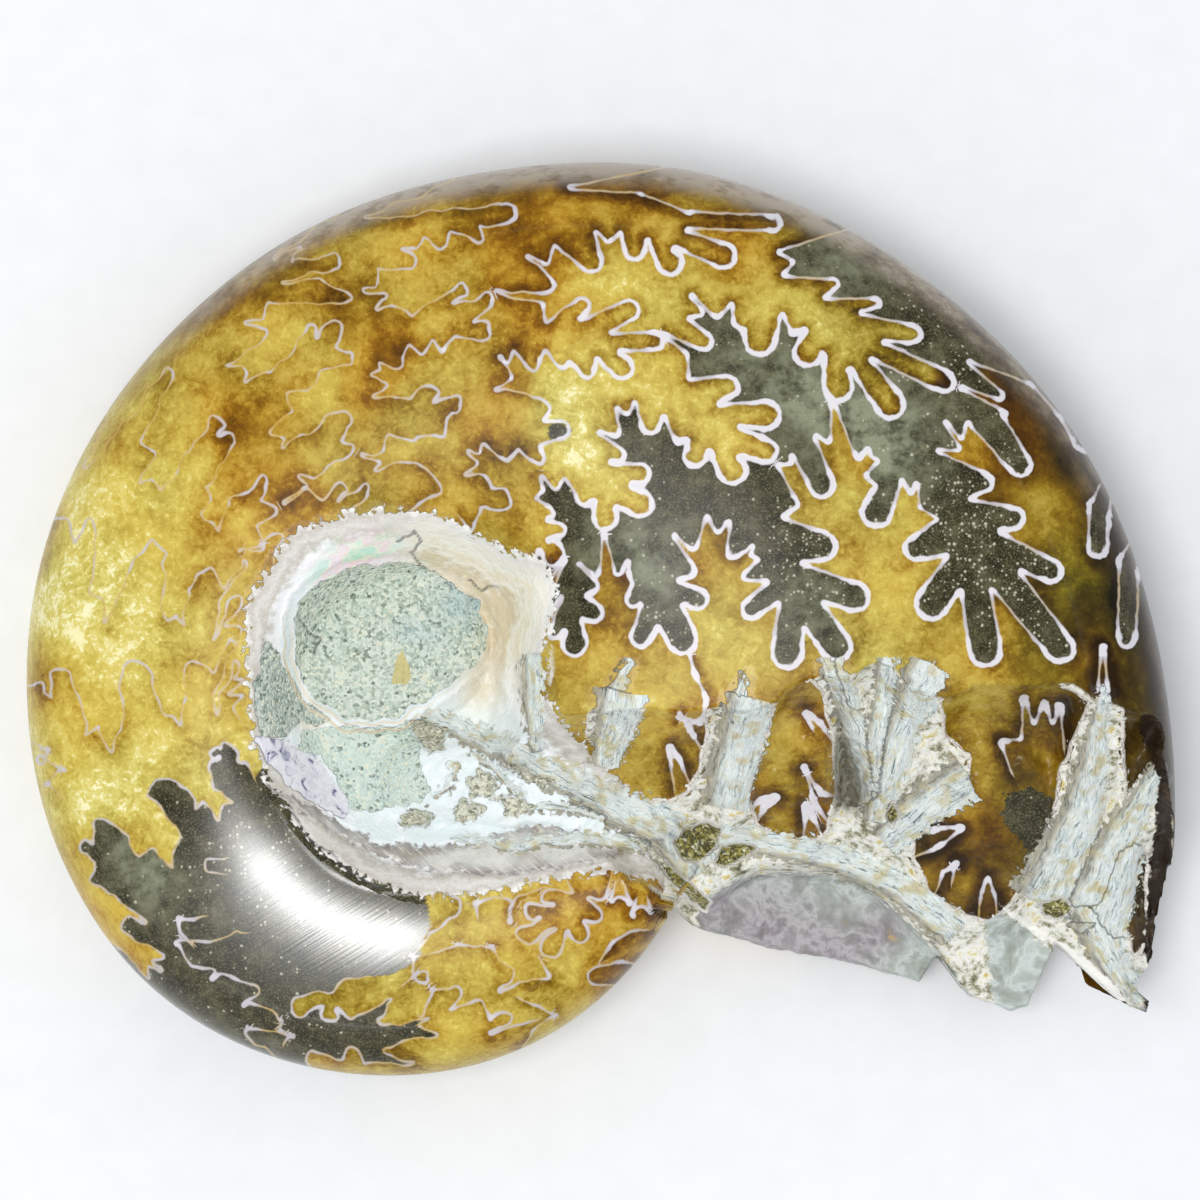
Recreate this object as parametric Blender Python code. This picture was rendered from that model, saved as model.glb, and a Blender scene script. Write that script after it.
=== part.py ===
"""A polished fossil ammonite lying on its flank, as one solid of stone.

The shell, the crystal that fills its chambers, the mud set in its middle and the broken septa at its
open end have grown together, so nothing here is a separate piece. X runs along the longest extent and
Z up from the table. The origin is on the table, under the middle of the box round the shell.
"""

from math import acos, atan2, cos, pi, radians, sin

import bmesh
import bpy
from mathutils import Vector, noise

NAME = "ammonite"
LENGTH = 0.100
# The sizes below are millimetres on a shell 100 mm long, and they all grow with LENGTH.
MM = LENGTH / 100

# The coil. Angles are degrees round its axis, counter-clockwise from +X seen from above.
COIL_AXIS = Vector((-17.0, -6.9))
OPEN_END = -29.0
INNER_END = 325.0
VENTER_RADIUS = {
    -29: 70.9, -20: 69.6, 0: 66.4, 20: 63.1, 40: 58.0, 60: 52.8, 80: 46.8, 100: 42.2, 120: 38.3,
    140: 35.6, 160: 33.9, 180: 33.0, 205: 33.1, 230: 33.6, 260: 33.2, 290: 32.3, 325: 29.8,
}
RIM_RADIUS = {
    -29: 13.2, 0: 14.2, 20: 14.8, 45: 18.0, 70: 17.4, 90: 15.9, 130: 14.0, 160: 12.9, 200: 12.8,
    230: 14.2, 250: 15.8, 270: 16.6, 290: 17.0, 305: 18.4, 318: 21.6, 325: 24.0,
}
HALF_THICKNESS = 9.0
HALF_THICKNESS_GAIN = 6.0
THICKENING = 1.2
FATTEST_AT = 0.28
RIM_DROP = 0.06
FLANK_FALL = 0.24
ROUNDING = 0.54
# The middle plane of the coil rises towards its thick side, because both sides lie on the table.
MIDDLE_HEIGHT = 12.65
MIDDLE_RISE = Vector((0.0706, 0.017))
# What would reach below this is ground flat, and the shell lies on it.
TABLE = 0.0

# The umbilicus, a funnel on each side. A lens of set mud fills the upper one.
UPPER_FLOOR = 15.2
LOWER_FLOOR = 4.6
PIT_WALL = 0.55
MUD_MIDDLE = Vector((-18.0, -2.4, 15.8))
MUD_HALF = Vector((8.8, 7.6, 1.7))

# Rings of the coil's mesh, from the upper middle out to the venter and back to the lower middle.
SEGMENTS = 84
PIT_RINGS = 7
FLANK_RINGS = 6
ROUND_RINGS = 5
LOWER_PIT_RINGS = 3
UPPER_RINGS = PIT_RINGS + FLANK_RINGS + ROUND_RINGS
RINGS = UPPER_RINGS + ROUND_RINGS + FLANK_RINGS + LOWER_PIT_RINGS

# The break. Past its upper line the flank is gone, down a rough slope. Depth past the line: height.
BREAK_LINE = ((-8.0, -7.6), (2.0, -6.2), (12.0, -6.6), (21.0, -3.6), (31.0, -5.6), (44.0, -5.4), (54.0, -9.0))
BREAK_SLOPE = ((-6.0, 44.0), (-1.0, 30.6), (2.0, 23.4), (9.0, 18.0), (15.0, 14.6), (24.0, 11.5), (34.0, 9.5))
BREAK_SIDE = ((-7.0, -16.0), (-3.5, -17.9), (2.5, -21.9), (8.0, -26.0))
BREAK_LOW, BREAK_HIGH = Vector((-7.0, -38.0)), Vector((54.0, 1.0))
BREAK_CELL = 1.0
BREAK_ROUGHNESS = 0.8
BREAK_GRAIN = 0.3
# Heights that are clear of the shell, for the cutters' tops and bottoms.
CLEAR, BELOW = 48.0, -5.0

# The lower edge of the break, its tongue by the inner whorl, and the ledge of grey stone below it.
BREAK_FOOT = ((6.6, -24.6), (9.6, -25.0), (14.5, -21.9), (23.0, -22.4), (27.8, -27.0), (30.6, -30.2))
LEDGE_END = ((6.6, -25.6), (8.6, -27.6), (15.0, -29.4), (22.5, -30.8), (29.0, -32.6))
LEDGE = ((5.0, -23.0), (8.2, -29.8), (20.0, -34.0), (30.4, -34.6), (31.0, -26.0), (22.0, -18.0), (10.0, -19.0))
LEDGE_BOTTOM, LEDGE_TOP = 0.6, 7.5
TONGUE = ((2.6, -19.4), (9.6, -25.0), (15.0, -21.0), (13.0, -16.0), (4.0, -15.0))
TONGUE_BOTTOM, TONGUE_TOP = 7.0, 15.2
SHARD_EDGE = ((30.6, -30.2), (33.0, -33.4), (37.0, -34.9), (38.4, -34.3), (40.6, -29.4))
SPUR_EDGE = ((40.6, -28.6), (45.8, -33.4), (47.6, -34.2), (49.0, -32.4), (56.0, -40.0))
BEYOND = ((60.0, -66.0), (12.0, -66.0), (7.4, -31.0))

# Septa that stand out of the break: top, toe, width, and height over the slope.
SEPTA = (
    ((-5.0, -4.0), (-4.9, -11.2), 2.2, 1.6),
    ((2.8, -5.0), (0.8, -13.6), 3.6, 2.6),
    ((13.6, -6.0), (11.6, -16.8), 4.2, 3.0),
    ((20.4, -3.6), (24.4, -12.4), 3.0, 2.8),
    ((28.8, -2.8), (24.8, -17.4), 5.0, 3.4),
    ((33.2, -11.6), (26.2, -19.4), 3.6, 2.4),
    ((44.2, -5.0), (41.2, -18.6), 5.6, 3.6),
    ((49.4, -12.6), (42.4, -23.6), 4.6, 3.0),
    ((42.6, -21.6), (46.6, -29.0), 5.0, 2.2),
)
# Crystal fillings that bulge between the septa: middle, half width, half length, height.
CHAMBERS = (
    ((-1.4, -8.4), (2.4, 4.2), 1.4),
    ((6.8, -10.8), (4.6, 7.2), 2.4),
    ((17.6, -12.2), (4.4, 8.4), 2.8),
    ((33.6, -18.6), (7.0, 9.4), 3.4),
)
# The root of the inner whorl, a fibrous ridge from the umbilicus to the break: place, height, radius.
ROOT = (
    ((-19.0, -13.4), 13.4, 2.6),
    ((-15.5, -13.8), 14.8, 4.2),
    ((-11.5, -14.0), 15.8, 4.4),
    ((-7.5, -14.8), 16.6, 3.8),
    ((-3.5, -16.0), 17.0, 3.0),
    ((0.0, -17.2), 17.2, 2.8),
    ((4.0, -19.2), 16.6, 2.8),
    ((8.6, -22.0), 14.8, 2.4),
    ((13.0, -20.6), 13.6, 2.0),
    ((19.0, -21.2), 12.6, 1.8),
    ((25.0, -23.2), 12.2, 1.8),
    ((30.0, -27.6), 11.6, 2.0),
)
ROOT_FLATNESS = 0.7
FINEST_FACET = 0.00005
STONE_COLOUR = (0.50, 0.31, 0.06, 1.0)
STONE_ROUGHNESS = 0.22


def smooth(low, high, value):
    share = min(1.0, max(0.0, (value - low) / (high - low)))
    return share * share * (3 - 2 * share)


def along(knots, place):
    """The value at a place between knots, on a curve that passes through them with no overshoot."""
    knots = sorted(knots.items()) if isinstance(knots, dict) else sorted(knots)
    place = min(max(place, knots[0][0]), knots[-1][0])
    right = next(i for i in range(1, len(knots)) if place <= knots[i][0])
    (x0, y0), (x1, y1) = knots[right - 1], knots[right]
    slope = (y1 - y0) / (x1 - x0)
    before = slope if right < 2 else (y0 - knots[right - 2][1]) / (x0 - knots[right - 2][0])
    after = slope if right + 1 == len(knots) else (knots[right + 1][1] - y1) / (knots[right + 1][0] - x1)
    start, end = (0.5 * (before + slope), 0.5 * (slope + after))
    t, width = (place - x0) / (x1 - x0), x1 - x0
    return (
        y0 * (1 + 2 * t) * (1 - t) ** 2
        + y1 * t * t * (3 - 2 * t)
        + width * (start * t * (1 - t) ** 2 - end * t * t * (1 - t))
    )


def middle_height(place):
    return MIDDLE_HEIGHT + (place - COIL_AXIS / 2).dot(MIDDLE_RISE)


def half_thickness(angle):
    grown = (INNER_END - angle) / (INNER_END - OPEN_END)
    return HALF_THICKNESS + HALF_THICKNESS_GAIN * grown**THICKENING


def flank_share(across):
    """The flank's height as a share of the half thickness, from the rim at 0 to the venter at 1."""
    if across < FATTEST_AT:
        return 1.0 - RIM_DROP * (1 - across / FATTEST_AT) ** 2
    return 1.0 - FLANK_FALL * ((across - FATTEST_AT) / (1 - FATTEST_AT)) ** 2


def coil_point(share, ring):
    """A point of the coil in millimetres, share 0 at the open end, ring 0 at the upper middle."""
    upper = ring <= UPPER_RINGS
    step = ring if upper else RINGS - ring
    pit_rings = PIT_RINGS if upper else LOWER_PIT_RINGS
    angle = OPEN_END + (INNER_END - OPEN_END) * share
    rim, venter = along(RIM_RADIUS, angle), along(VENTER_RADIUS, angle)
    rounding = ROUNDING * half_thickness(angle)
    flat = venter - rounding
    turn = 0.0
    if step <= pit_rings:
        radius = rim * step / pit_rings
    elif step <= pit_rings + FLANK_RINGS:
        radius = rim + (flat - rim) * (step - pit_rings) / FLANK_RINGS
    else:
        turn = radians(90) * (step - pit_rings - FLANK_RINGS) / ROUND_RINGS
        radius = flat + rounding * sin(turn)
    way = Vector((cos(radians(angle)), sin(radians(angle))))
    place = COIL_AXIS + way * radius
    across = max(0.0, (min(radius, flat) - rim) / (venter - rim))
    rise = half_thickness(angle) * flank_share(across) * cos(turn)
    if radius >= rim:
        return Vector((*place, max(TABLE, middle_height(place) + (rise if upper else -rise))))
    rim_level = max(TABLE, middle_height(COIL_AXIS + way * rim) + (rise if upper else -rise))
    floor = UPPER_FLOOR if upper else LOWER_FLOOR
    level = floor + (rim_level - floor) * smooth(PIT_WALL, 1.0, radius / rim)
    return Vector((*place, level))


def septum_height(place, top, toe, width, height):
    """How far a septum stands over the break at a place: a steep-sided rib, thinner at its toe."""
    top, run = Vector(top), Vector(toe) - Vector(top)
    share = min(1.0, max(0.0, (place - top).dot(run) / run.length_squared))
    half = width * (0.5 - 0.15 * share)
    return height * (1 - smooth(0.7 * half, 1.5 * half, (place - top - run * share).length))


def chamber_height(place, middle, half, height):
    """How far a chamber's crystal filling bulges over the break at a place."""
    off = place - Vector(middle)
    inside = 1 - (off.x / half[0]) ** 2 - (off.y / half[1]) ** 2
    return height * inside**0.5 if inside > 0 else 0.0


def break_height(place):
    """The slope of the break, roughened as broken stone is, with what stands out of it."""
    if place.x < BREAK_SIDE[-1][0] and place.y < along(BREAK_SIDE, place.x):
        return CLEAR
    height = along(BREAK_SLOPE, along(BREAK_LINE, place.x) - place.y)
    height += BREAK_ROUGHNESS * noise.noise(Vector((*place, 0.0)) * BREAK_GRAIN)
    septa = (septum_height(place, *septum) for septum in SEPTA)
    fillings = (chamber_height(place, *chamber) for chamber in CHAMBERS)
    return min(CLEAR, height + max(*septa, *fillings))


def new_object(mesh, name, home):
    mesh.normal_update()
    data = bpy.data.meshes.new(name)
    mesh.to_mesh(data)
    mesh.free()
    made = bpy.data.objects.new(name, data)
    home.objects.link(made)
    return made


def make_coil(home):
    """The whole coil, a sphere whose rings are drawn out to the spiral venter and into the funnels."""
    mesh = bmesh.new()
    bmesh.ops.create_uvsphere(mesh, u_segments=SEGMENTS, v_segments=RINGS, radius=1.0)
    for vertex in mesh.verts:
        ring = round(acos(max(-1.0, min(1.0, vertex.co.z))) / pi * RINGS)
        turn = atan2(vertex.co.y, vertex.co.x) / (2 * pi) if 0 < ring < RINGS else 0.0
        share = (round(turn * SEGMENTS) % SEGMENTS) / (SEGMENTS - 1)
        vertex.co = coil_point(share, ring) * MM
    return new_object(mesh, NAME, home)


def make_mud(home):
    """The mud set in the upper umbilicus, a lens of which the crown shows."""
    mesh = bmesh.new()
    bmesh.ops.create_uvsphere(mesh, u_segments=28, v_segments=12, radius=1.0)
    for vertex in mesh.verts:
        vertex.co = (MUD_MIDDLE + vertex.co * MUD_HALF) * MM
    return new_object(mesh, "mud", home)


def make_break_cutter(home):
    """The stone lost from the open end: a rough slope below, a lid above."""
    mesh = bmesh.new()
    size = BREAK_HIGH - BREAK_LOW
    cells = (round(size.x / BREAK_CELL), round(size.y / BREAK_CELL))
    bmesh.ops.create_grid(mesh, x_segments=cells[0], y_segments=cells[1], size=0.5)
    for vertex in mesh.verts:
        place = BREAK_LOW + (vertex.co.xy + Vector((0.5, 0.5))) * size
        vertex.co = Vector((*place, break_height(place))) * MM
    lifted = bmesh.ops.extrude_face_region(mesh, geom=mesh.faces[:])
    for vertex in [part for part in lifted["geom"] if isinstance(part, bmesh.types.BMVert)]:
        vertex.co.z = 1.2 * CLEAR * MM
    bmesh.ops.recalc_face_normals(mesh, faces=mesh.faces)
    return new_object(mesh, "break_cutter", home)


def make_prism(outline, low, high, name, home):
    """A flat outline drawn up into a closed prism."""
    mesh = bmesh.new()
    corners = [mesh.verts.new(Vector((x, y, low)) * MM) for x, y in outline]
    face = mesh.faces.new(corners)
    lifted = bmesh.ops.extrude_face_region(mesh, geom=[face])
    top = [part for part in lifted["geom"] if isinstance(part, bmesh.types.BMVert)]
    bmesh.ops.translate(mesh, vec=Vector((0, 0, high - low)) * MM, verts=top)
    bmesh.ops.triangulate(mesh, faces=[face for face in mesh.faces if len(face.verts) > 4])
    bmesh.ops.recalc_face_normals(mesh, faces=mesh.faces)
    return new_object(mesh, name, home)


def make_root(home):
    """The root of the inner whorl, a tapering round rod pressed flat, with closed ends."""
    curve = bpy.data.curves.new("root", "CURVE")
    curve.dimensions = "3D"
    curve.bevel_depth = MM
    curve.bevel_resolution = 2
    curve.use_fill_caps = True
    line = curve.splines.new("POLY")
    line.points.add(len(ROOT) - 1)
    for point, (place, level, radius) in zip(line.points, ROOT):
        point.co = (*(Vector((*place, level)) * MM), 1.0)
        point.radius = radius
    rod = bpy.data.objects.new("root_curve", curve)
    home.objects.link(rod)
    bpy.context.view_layer.update()
    data = bpy.data.meshes.new_from_object(rod.evaluated_get(bpy.context.evaluated_depsgraph_get()))
    bpy.data.objects.remove(rod)
    mesh = bmesh.new()
    mesh.from_mesh(data)
    bmesh.ops.remove_doubles(mesh, verts=mesh.verts, dist=0.00001)
    for vertex in mesh.verts:
        place, level, _ = min(ROOT, key=lambda knot: (Vector(knot[0]) * MM - vertex.co.xy).length)
        vertex.co.z = level * MM + (vertex.co.z - level * MM) * ROOT_FLATNESS
    bmesh.ops.recalc_face_normals(mesh, faces=mesh.faces)
    return new_object(mesh, "root", home)


def boolean(body, tool, operation, solver="EXACT"):
    step = body.modifiers.new(f"{operation.lower()} {tool.name}", "BOOLEAN")
    step.operation = operation
    step.solver = solver
    step.object = tool
    tool.hide_render = True
    tool.display_type = "WIRE"


def stone():
    material = bpy.data.materials.new("amber_stone")
    material.use_nodes = True
    shader = material.node_tree.nodes["Principled BSDF"]
    shader.inputs["Base Color"].default_value = STONE_COLOUR
    shader.inputs["Roughness"].default_value = STONE_ROUGHNESS
    shader.inputs["Metallic"].default_value = 0.0
    return material


def main():
    for item in list(bpy.data.objects):
        bpy.data.objects.remove(item)
    parts = bpy.data.collections.new("fossil_ammonite")
    tools = bpy.data.collections.new("cutters")
    bpy.context.scene.collection.children.link(parts)
    bpy.context.scene.collection.children.link(tools)

    body = make_coil(parts)
    boolean(body, make_break_cutter(tools), "DIFFERENCE")
    end = [*LEDGE_END, *SHARD_EDGE, *SPUR_EDGE, *BEYOND]
    overhang = [*BREAK_FOOT, *SHARD_EDGE[1:], *BEYOND]
    boolean(body, make_mud(tools), "UNION")
    boolean(body, make_root(tools), "UNION")
    boolean(body, make_prism(LEDGE, LEDGE_BOTTOM, LEDGE_TOP, "ledge", tools), "UNION")
    boolean(body, make_prism(TONGUE, TONGUE_BOTTOM, TONGUE_TOP, "tongue", tools), "UNION")
    # The exact solver leaves open edges where these two pass through the break's small facets.
    boolean(body, make_prism(end, BELOW, CLEAR, "end_cutter", tools), "DIFFERENCE", "MANIFOLD")
    boolean(body, make_prism(overhang, LEDGE_TOP, CLEAR, "overhang_cutter", tools), "DIFFERENCE", "MANIFOLD")
    tidy = body.modifiers.new("merge the cuts' narrowest facets", "WELD")
    tidy.merge_threshold = FINEST_FACET
    body.data.materials.append(stone())
    body.data.shade_smooth()
    body.data.set_sharp_from_angle(angle=radians(40))


main()
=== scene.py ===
"""The looks of a polished fossil ammonite, as an add-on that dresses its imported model.

The outer surface is one dense skin, worked out from the coil's own dimensions and the model's break, and
parted into pieces by what they are. Drawn lines, the sutures, are strings pulled round pegs: round ends
that point to the shell's mouth, and sharp tips that point back.
"""

from functools import lru_cache
from math import ceil, cos, pi, radians, sin

import bmesh
import bpy
import numpy as np
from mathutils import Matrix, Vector, noise
from mathutils.bvhtree import BVHTree


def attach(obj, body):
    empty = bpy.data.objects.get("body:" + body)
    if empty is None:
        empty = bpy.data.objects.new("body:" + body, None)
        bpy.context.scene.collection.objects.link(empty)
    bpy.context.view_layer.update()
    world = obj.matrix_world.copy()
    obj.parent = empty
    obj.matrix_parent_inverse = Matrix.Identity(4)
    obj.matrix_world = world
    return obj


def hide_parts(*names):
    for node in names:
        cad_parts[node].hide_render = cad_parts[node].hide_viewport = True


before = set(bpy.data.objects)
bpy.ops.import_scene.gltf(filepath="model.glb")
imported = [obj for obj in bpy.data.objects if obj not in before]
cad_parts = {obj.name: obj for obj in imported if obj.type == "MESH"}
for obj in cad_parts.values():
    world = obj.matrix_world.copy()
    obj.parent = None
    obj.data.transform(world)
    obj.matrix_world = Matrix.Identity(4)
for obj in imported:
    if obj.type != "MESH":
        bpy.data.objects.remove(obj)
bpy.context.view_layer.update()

bl_info = {
    "name": "Polished fossil ammonite",
    "version": (1, 0, 0),
    "blender": (4, 5, 0),
    "location": "3D View > Sidebar > Ammonite",
    "description": "Dresses the ammonite's solid with its polished flank, break, umbilicus and stage",
    "category": "Add Mesh",
}

NODE = "ammonite"
BODY = "root"
MM = 0.001

# The coil, in millimetres and degrees, as the solid has it.
COIL_AXIS = (-17.0, -6.9)
OPEN_END = -29.0
INNER_END = 325.0
VENTER_RADIUS = {
    -29: 70.9, -20: 69.6, 0: 66.4, 20: 63.1, 40: 58.0, 60: 52.8, 80: 46.8, 100: 42.2, 120: 38.3,
    140: 35.6, 160: 33.9, 180: 33.0, 205: 33.1, 230: 33.6, 260: 33.2, 290: 32.3, 325: 29.8,
}
RIM_RADIUS = {
    -29: 13.2, 0: 14.2, 20: 14.8, 45: 18.0, 70: 17.4, 90: 15.9, 130: 14.0, 160: 12.9, 200: 12.8,
    230: 14.2, 250: 15.8, 270: 16.6, 290: 17.0, 305: 18.4, 318: 21.6, 325: 24.0,
}
# Half the whorl's thickness, and how it grows towards the mouth.
HALF_THICKNESS, HALF_THICKNESS_GAIN, THICKENING = 9.0, 6.0, 1.2
# Shares of the way out to the venter and of the thickness: the fattest place, and the falls to either side.
FATTEST_AT, RIM_DROP, FLANK_FALL, ROUNDING = 0.28, 0.06, 0.24, 0.54
# The height of the coil's middle plane, and its rise to the east and the north.
MIDDLE_HEIGHT = 12.65
MIDDLE_RISE = (0.0706, 0.017)
# Heights of the table and of the umbilicus's two floors, and the share of its radius that is floor.
TABLE, UPPER_FLOOR, LOWER_FLOOR, PIT_WALL = 0.0, 15.2, 4.6, 0.55
# How far in from the outline the snapped wall's own top and bottom are looked for.
WALL_INSET = 0.35

# The broken end, seen from above, in millimetres.
LEDGE = (
    (5.0, -23.0), (8.2, -29.8), (20.0, -34.0), (30.4, -34.6), (31.0, -26.0), (22.0, -18.0), (10.0, -19.0),
)
TONGUE = ((2.6, -19.4), (9.6, -25.0), (15.0, -21.0), (13.0, -16.0), (4.0, -15.0))
LOST_END = (
    (6.6, -25.6), (8.6, -27.6), (15.0, -29.4), (22.5, -30.8), (29.0, -32.6),
    (30.6, -30.2), (33.0, -33.4), (37.0, -34.9), (38.4, -34.3), (40.6, -29.4),
    (40.6, -28.6), (45.8, -33.4), (47.6, -34.2), (49.0, -32.4), (56.0, -40.0),
    (60.0, -66.0), (12.0, -66.0), (7.4, -31.0),
)

# The camera looks straight down, at the distance where 100 mm of shell fill its frame as pictured.
CAMERA_PLACE = (0.436, 1.789, 363.0)
CAMERA_LENS = 120.0
CAMERA_SENSOR = 36.0
# Drawn places are in a frame 1200 wide that this camera sees, so a drawing lands where it is seen.
FRAME_WIDTH = 1200.0
# The flank's height in millimetres, and how many parts of the frame a millimetre takes there.
FLANK_HEIGHT = 22.0
FRAME_SCALE = CAMERA_LENS / CAMERA_SENSOR * FRAME_WIDTH / (CAMERA_PLACE[2] - FLANK_HEIGHT)

# The soft box mirrors at this place in the drawing, and its sizes and distance are in metres.
GLINT_PLACE = (350.0, 930.0)
SOFT_BOX_SIZE = (0.15, 0.12)
SOFT_BOX_DISTANCE = 0.45
FLOOR_GAP = 0.0001
# Step in millimetres that the flank's slope is measured over.
SLOPE_STEP = 0.1

# Gloss of polished stone, of rough stone and of paper. The glint is wax, rougher than the polish under it.
POLISH, ROUGH_GLOSS, PAPER_GLOSS = 0.07, 0.2, 0.1
STONE_IOR = 1.55
WAX_IOR, WAX_ROUGHNESS = 2.0, 0.28
# Sizes in millimetres of a grain of sand, and of the rags on a worn edge.
GRAIN_WIDTH = 0.26
RAG_SIZE = 0.65

# The skin is a disc of rings round this place, bent over the rim and down to the seam with the underside.
SKIN_CENTRE = (14.4, 8.8)
SKIN_RINGS = 330
RIM_BAND_RINGS = 44
RIM_BAND_START, RIM_BAND_END = 35.0, 96.0
UNDERSIDE_BAND_RINGS = 26
UNDERSIDE_BAND_END = 150.0
# The outline is looked for outwards from this reach, in these steps, and then by halving them.
RIM_SEARCH_START, RIM_SEARCH_STEP, RIM_HALVINGS = 12.0, 0.25, 12
# The inner rings follow an outline evened over this many steps, and hold to the real one near the edge.
EVENED_OVER, EDGE_HOLD = 14, 10
# Where the break has cut the bent rim: bends tried, the widest one, and how far the model may stand off.
DEEPEST_CUT, CUT_STEP, WIDEST_BEND, CUT_LEEWAY = 140, 3, 92, 0.5
# A place just off the model is asked for this much further in.
NUDGES = (0.0, 0.12, 0.4)
# How far the model's facets may leave the coil's curve before they count as broken, flat and at the rim.
LEEWAY, RIM_LEEWAY = 0.3, 1.4
BROKEN_FROM, BROKEN_FULLY = 1.0, 2.2
# Rounds of softening that take the facets out of the broken surface.
SOFTENING, UNDERSIDE_SOFTENING = 24, 10
# The snapped wall at the mouth: its lumps, and how far they stand in from the outline, in millimetres.
WALL_LUMPS, WALL_RELIEF = 1.3, 0.35
# Relief of crumbled shell and of splinters: layers, each a size, a height and a seed. A splinter is a lump
# drawn out to this width and length.
LUMPS = ((1.6, 0.28, 0.0), (0.55, 0.14, 9.0))
SPLINTERS = ((1.0, 0.42, 0.0), (0.4, 0.2, 4.0))
STRAND_WIDTH, STRAND_LENGTH = 0.32, 3.0
# Heights and depths, in millimetres, of what stands out of the shell or is sunk into it.
POCKET_DEPTH, CRACK_DEPTH, CRESCENT_GROOVE = 0.5, 0.25, 0.35
CHAMBER_LIP, INNER_LIP, SHELL_THICKNESS = 0.35, 0.28, 0.9
SAND_LUMPS, SAND_RELIEF, MUD_RELIEF = 0.42, 0.12, 0.05
# How the drawn lightness becomes the crystal's tone.
TONE_FLOOR, TONE_GAIN = 0.05, 0.87
# The venter's brown tone and its rind: how far out from the venter, and how far round the coil.
VENTER_TONE_FROM, VENTER_TONE_TURN = (-5.2, -0.6), (150, 60)
RIND_FROM, RIND_TURN = (-3.6, -1.4), (150, 95)
# The upper skin's pieces: three stretches of flank by their bearing, the mouth and the umbilicus.
FLANK_BEARINGS = (60.0, 150.0, 300.0)
FLANK_NAMES = ("flank_mouth_side", "flank_upper", "flank_inner_whorl")
FLANK_FIELDS = ("seam", "away", "line", "mud", "light", "warm", "grainy", "haze", "rind", "scored")
BREAK, UMBILICUS = 3, 4
# Where those part, in millimetres: a margin round what is drawn, and lines that the pieces end at.
PART_MARGIN = 0.6
PIT_EAST, FIBRES_SOUTH, BREAK_SOUTH, BREAK_WEST = 6.0, -3.0, -2.0, -8.0

# Sutures, from the venter in to the umbilicus. Three numbers are a round end's middle and radius, two are
# a sharp tip.
FRONT_SUTURE = (
    (1120, 470), (1082, 440, 9), (1060, 418), (1030, 385), (970, 363), (1000, 396, 4), (963, 388),
    (1003, 414, 3), (1004, 415), (1020, 465, 11), (968, 424), (961, 437, 2), (946, 423), (957, 448, 3),
    (939, 451), (984, 482, 9), (971, 499), (1013, 518, 11), (1001, 532), (1051, 571, 11), (1021, 572),
    (1060, 648, 14), (992, 590), (985, 650, 16), (960, 592), (932, 603, 16), (946, 557), (917, 548, 12),
    (936, 519), (921, 507, 2), (917, 485), (911, 492, 2), (902, 482), (877, 512, 15), (874, 486),
    (867, 475, 2), (877, 461), (871, 455, 1), (868, 449), (859, 455, 4), (832, 400), (828, 440, 3),
    (816, 437), (822, 485, 12), (792, 456), (790, 462, 2), (779, 466), (792, 504, 6), (784, 517),
    (822, 546, 14), (803, 563), (855, 597, 14), (824, 603), (836, 646, 15), (805, 629), (787, 653, 15),
    (778, 604), (752, 609, 10), (766, 582), (748, 576, 5), (757, 560), (752, 555, 1), (752, 547),
    (733, 553, 6), (729, 522), (718, 530, 3), (707, 517), (693, 545, 5), (674, 536), (687, 570, 8),
    (679, 581), (698, 599, 10), (683, 605), (683, 640, 14), (658, 628), (641, 637, 10), (640, 605),
    (633, 600, 7), (631, 583), (631, 573, 3), (628, 562), (618, 571, 4), (604, 533), (596, 572, 4),
    (580, 564), (592, 586, 6), (587, 597), (594, 612, 9), (583, 620), (575, 643, 13), (563, 630),
    (554, 631, 7), (562, 597), (550, 603, 5), (565, 560), (536, 596),
)
SECOND_SUTURE = (
    (860, 225), (780, 252), (792, 262, 2), (784, 275), (834, 284, 5), (826, 298), (876, 303, 5), (862, 313),
    (912, 334, 9), (885, 342), (943, 381, 11), (872, 360), (890, 404, 14), (850, 370), (838, 387, 14),
    (823, 356), (808, 352, 14), (804, 331), (794, 330, 4), (782, 315), (760, 340, 15), (742, 331),
    (737, 322, 4), (731, 305), (717, 314, 4), (692, 296), (699, 312, 4), (690, 319), (703, 341, 9),
    (663, 334), (684, 356, 4), (690, 378), (727, 387, 11), (720, 404), (766, 415, 14), (741, 427),
    (766, 451, 11), (741, 457), (732, 470, 14), (710, 452), (695, 456, 11), (687, 440), (678, 439, 4),
    (664, 418), (650, 425, 9), (635, 403), (627, 413, 2), (617, 409), (615, 432, 5), (600, 432),
    (618, 455, 7), (612, 462), (640, 474, 10), (633, 485), (640, 504, 13), (618, 508), (605, 518, 12),
    (594, 502), (584, 497, 8), (565, 480), (556, 485, 4), (543, 477), (541, 490, 4), (535, 500),
    (549, 512, 6), (547, 521), (559, 530, 7), (548, 541), (552, 553, 12), (538, 550), (528, 590),
)
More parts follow.
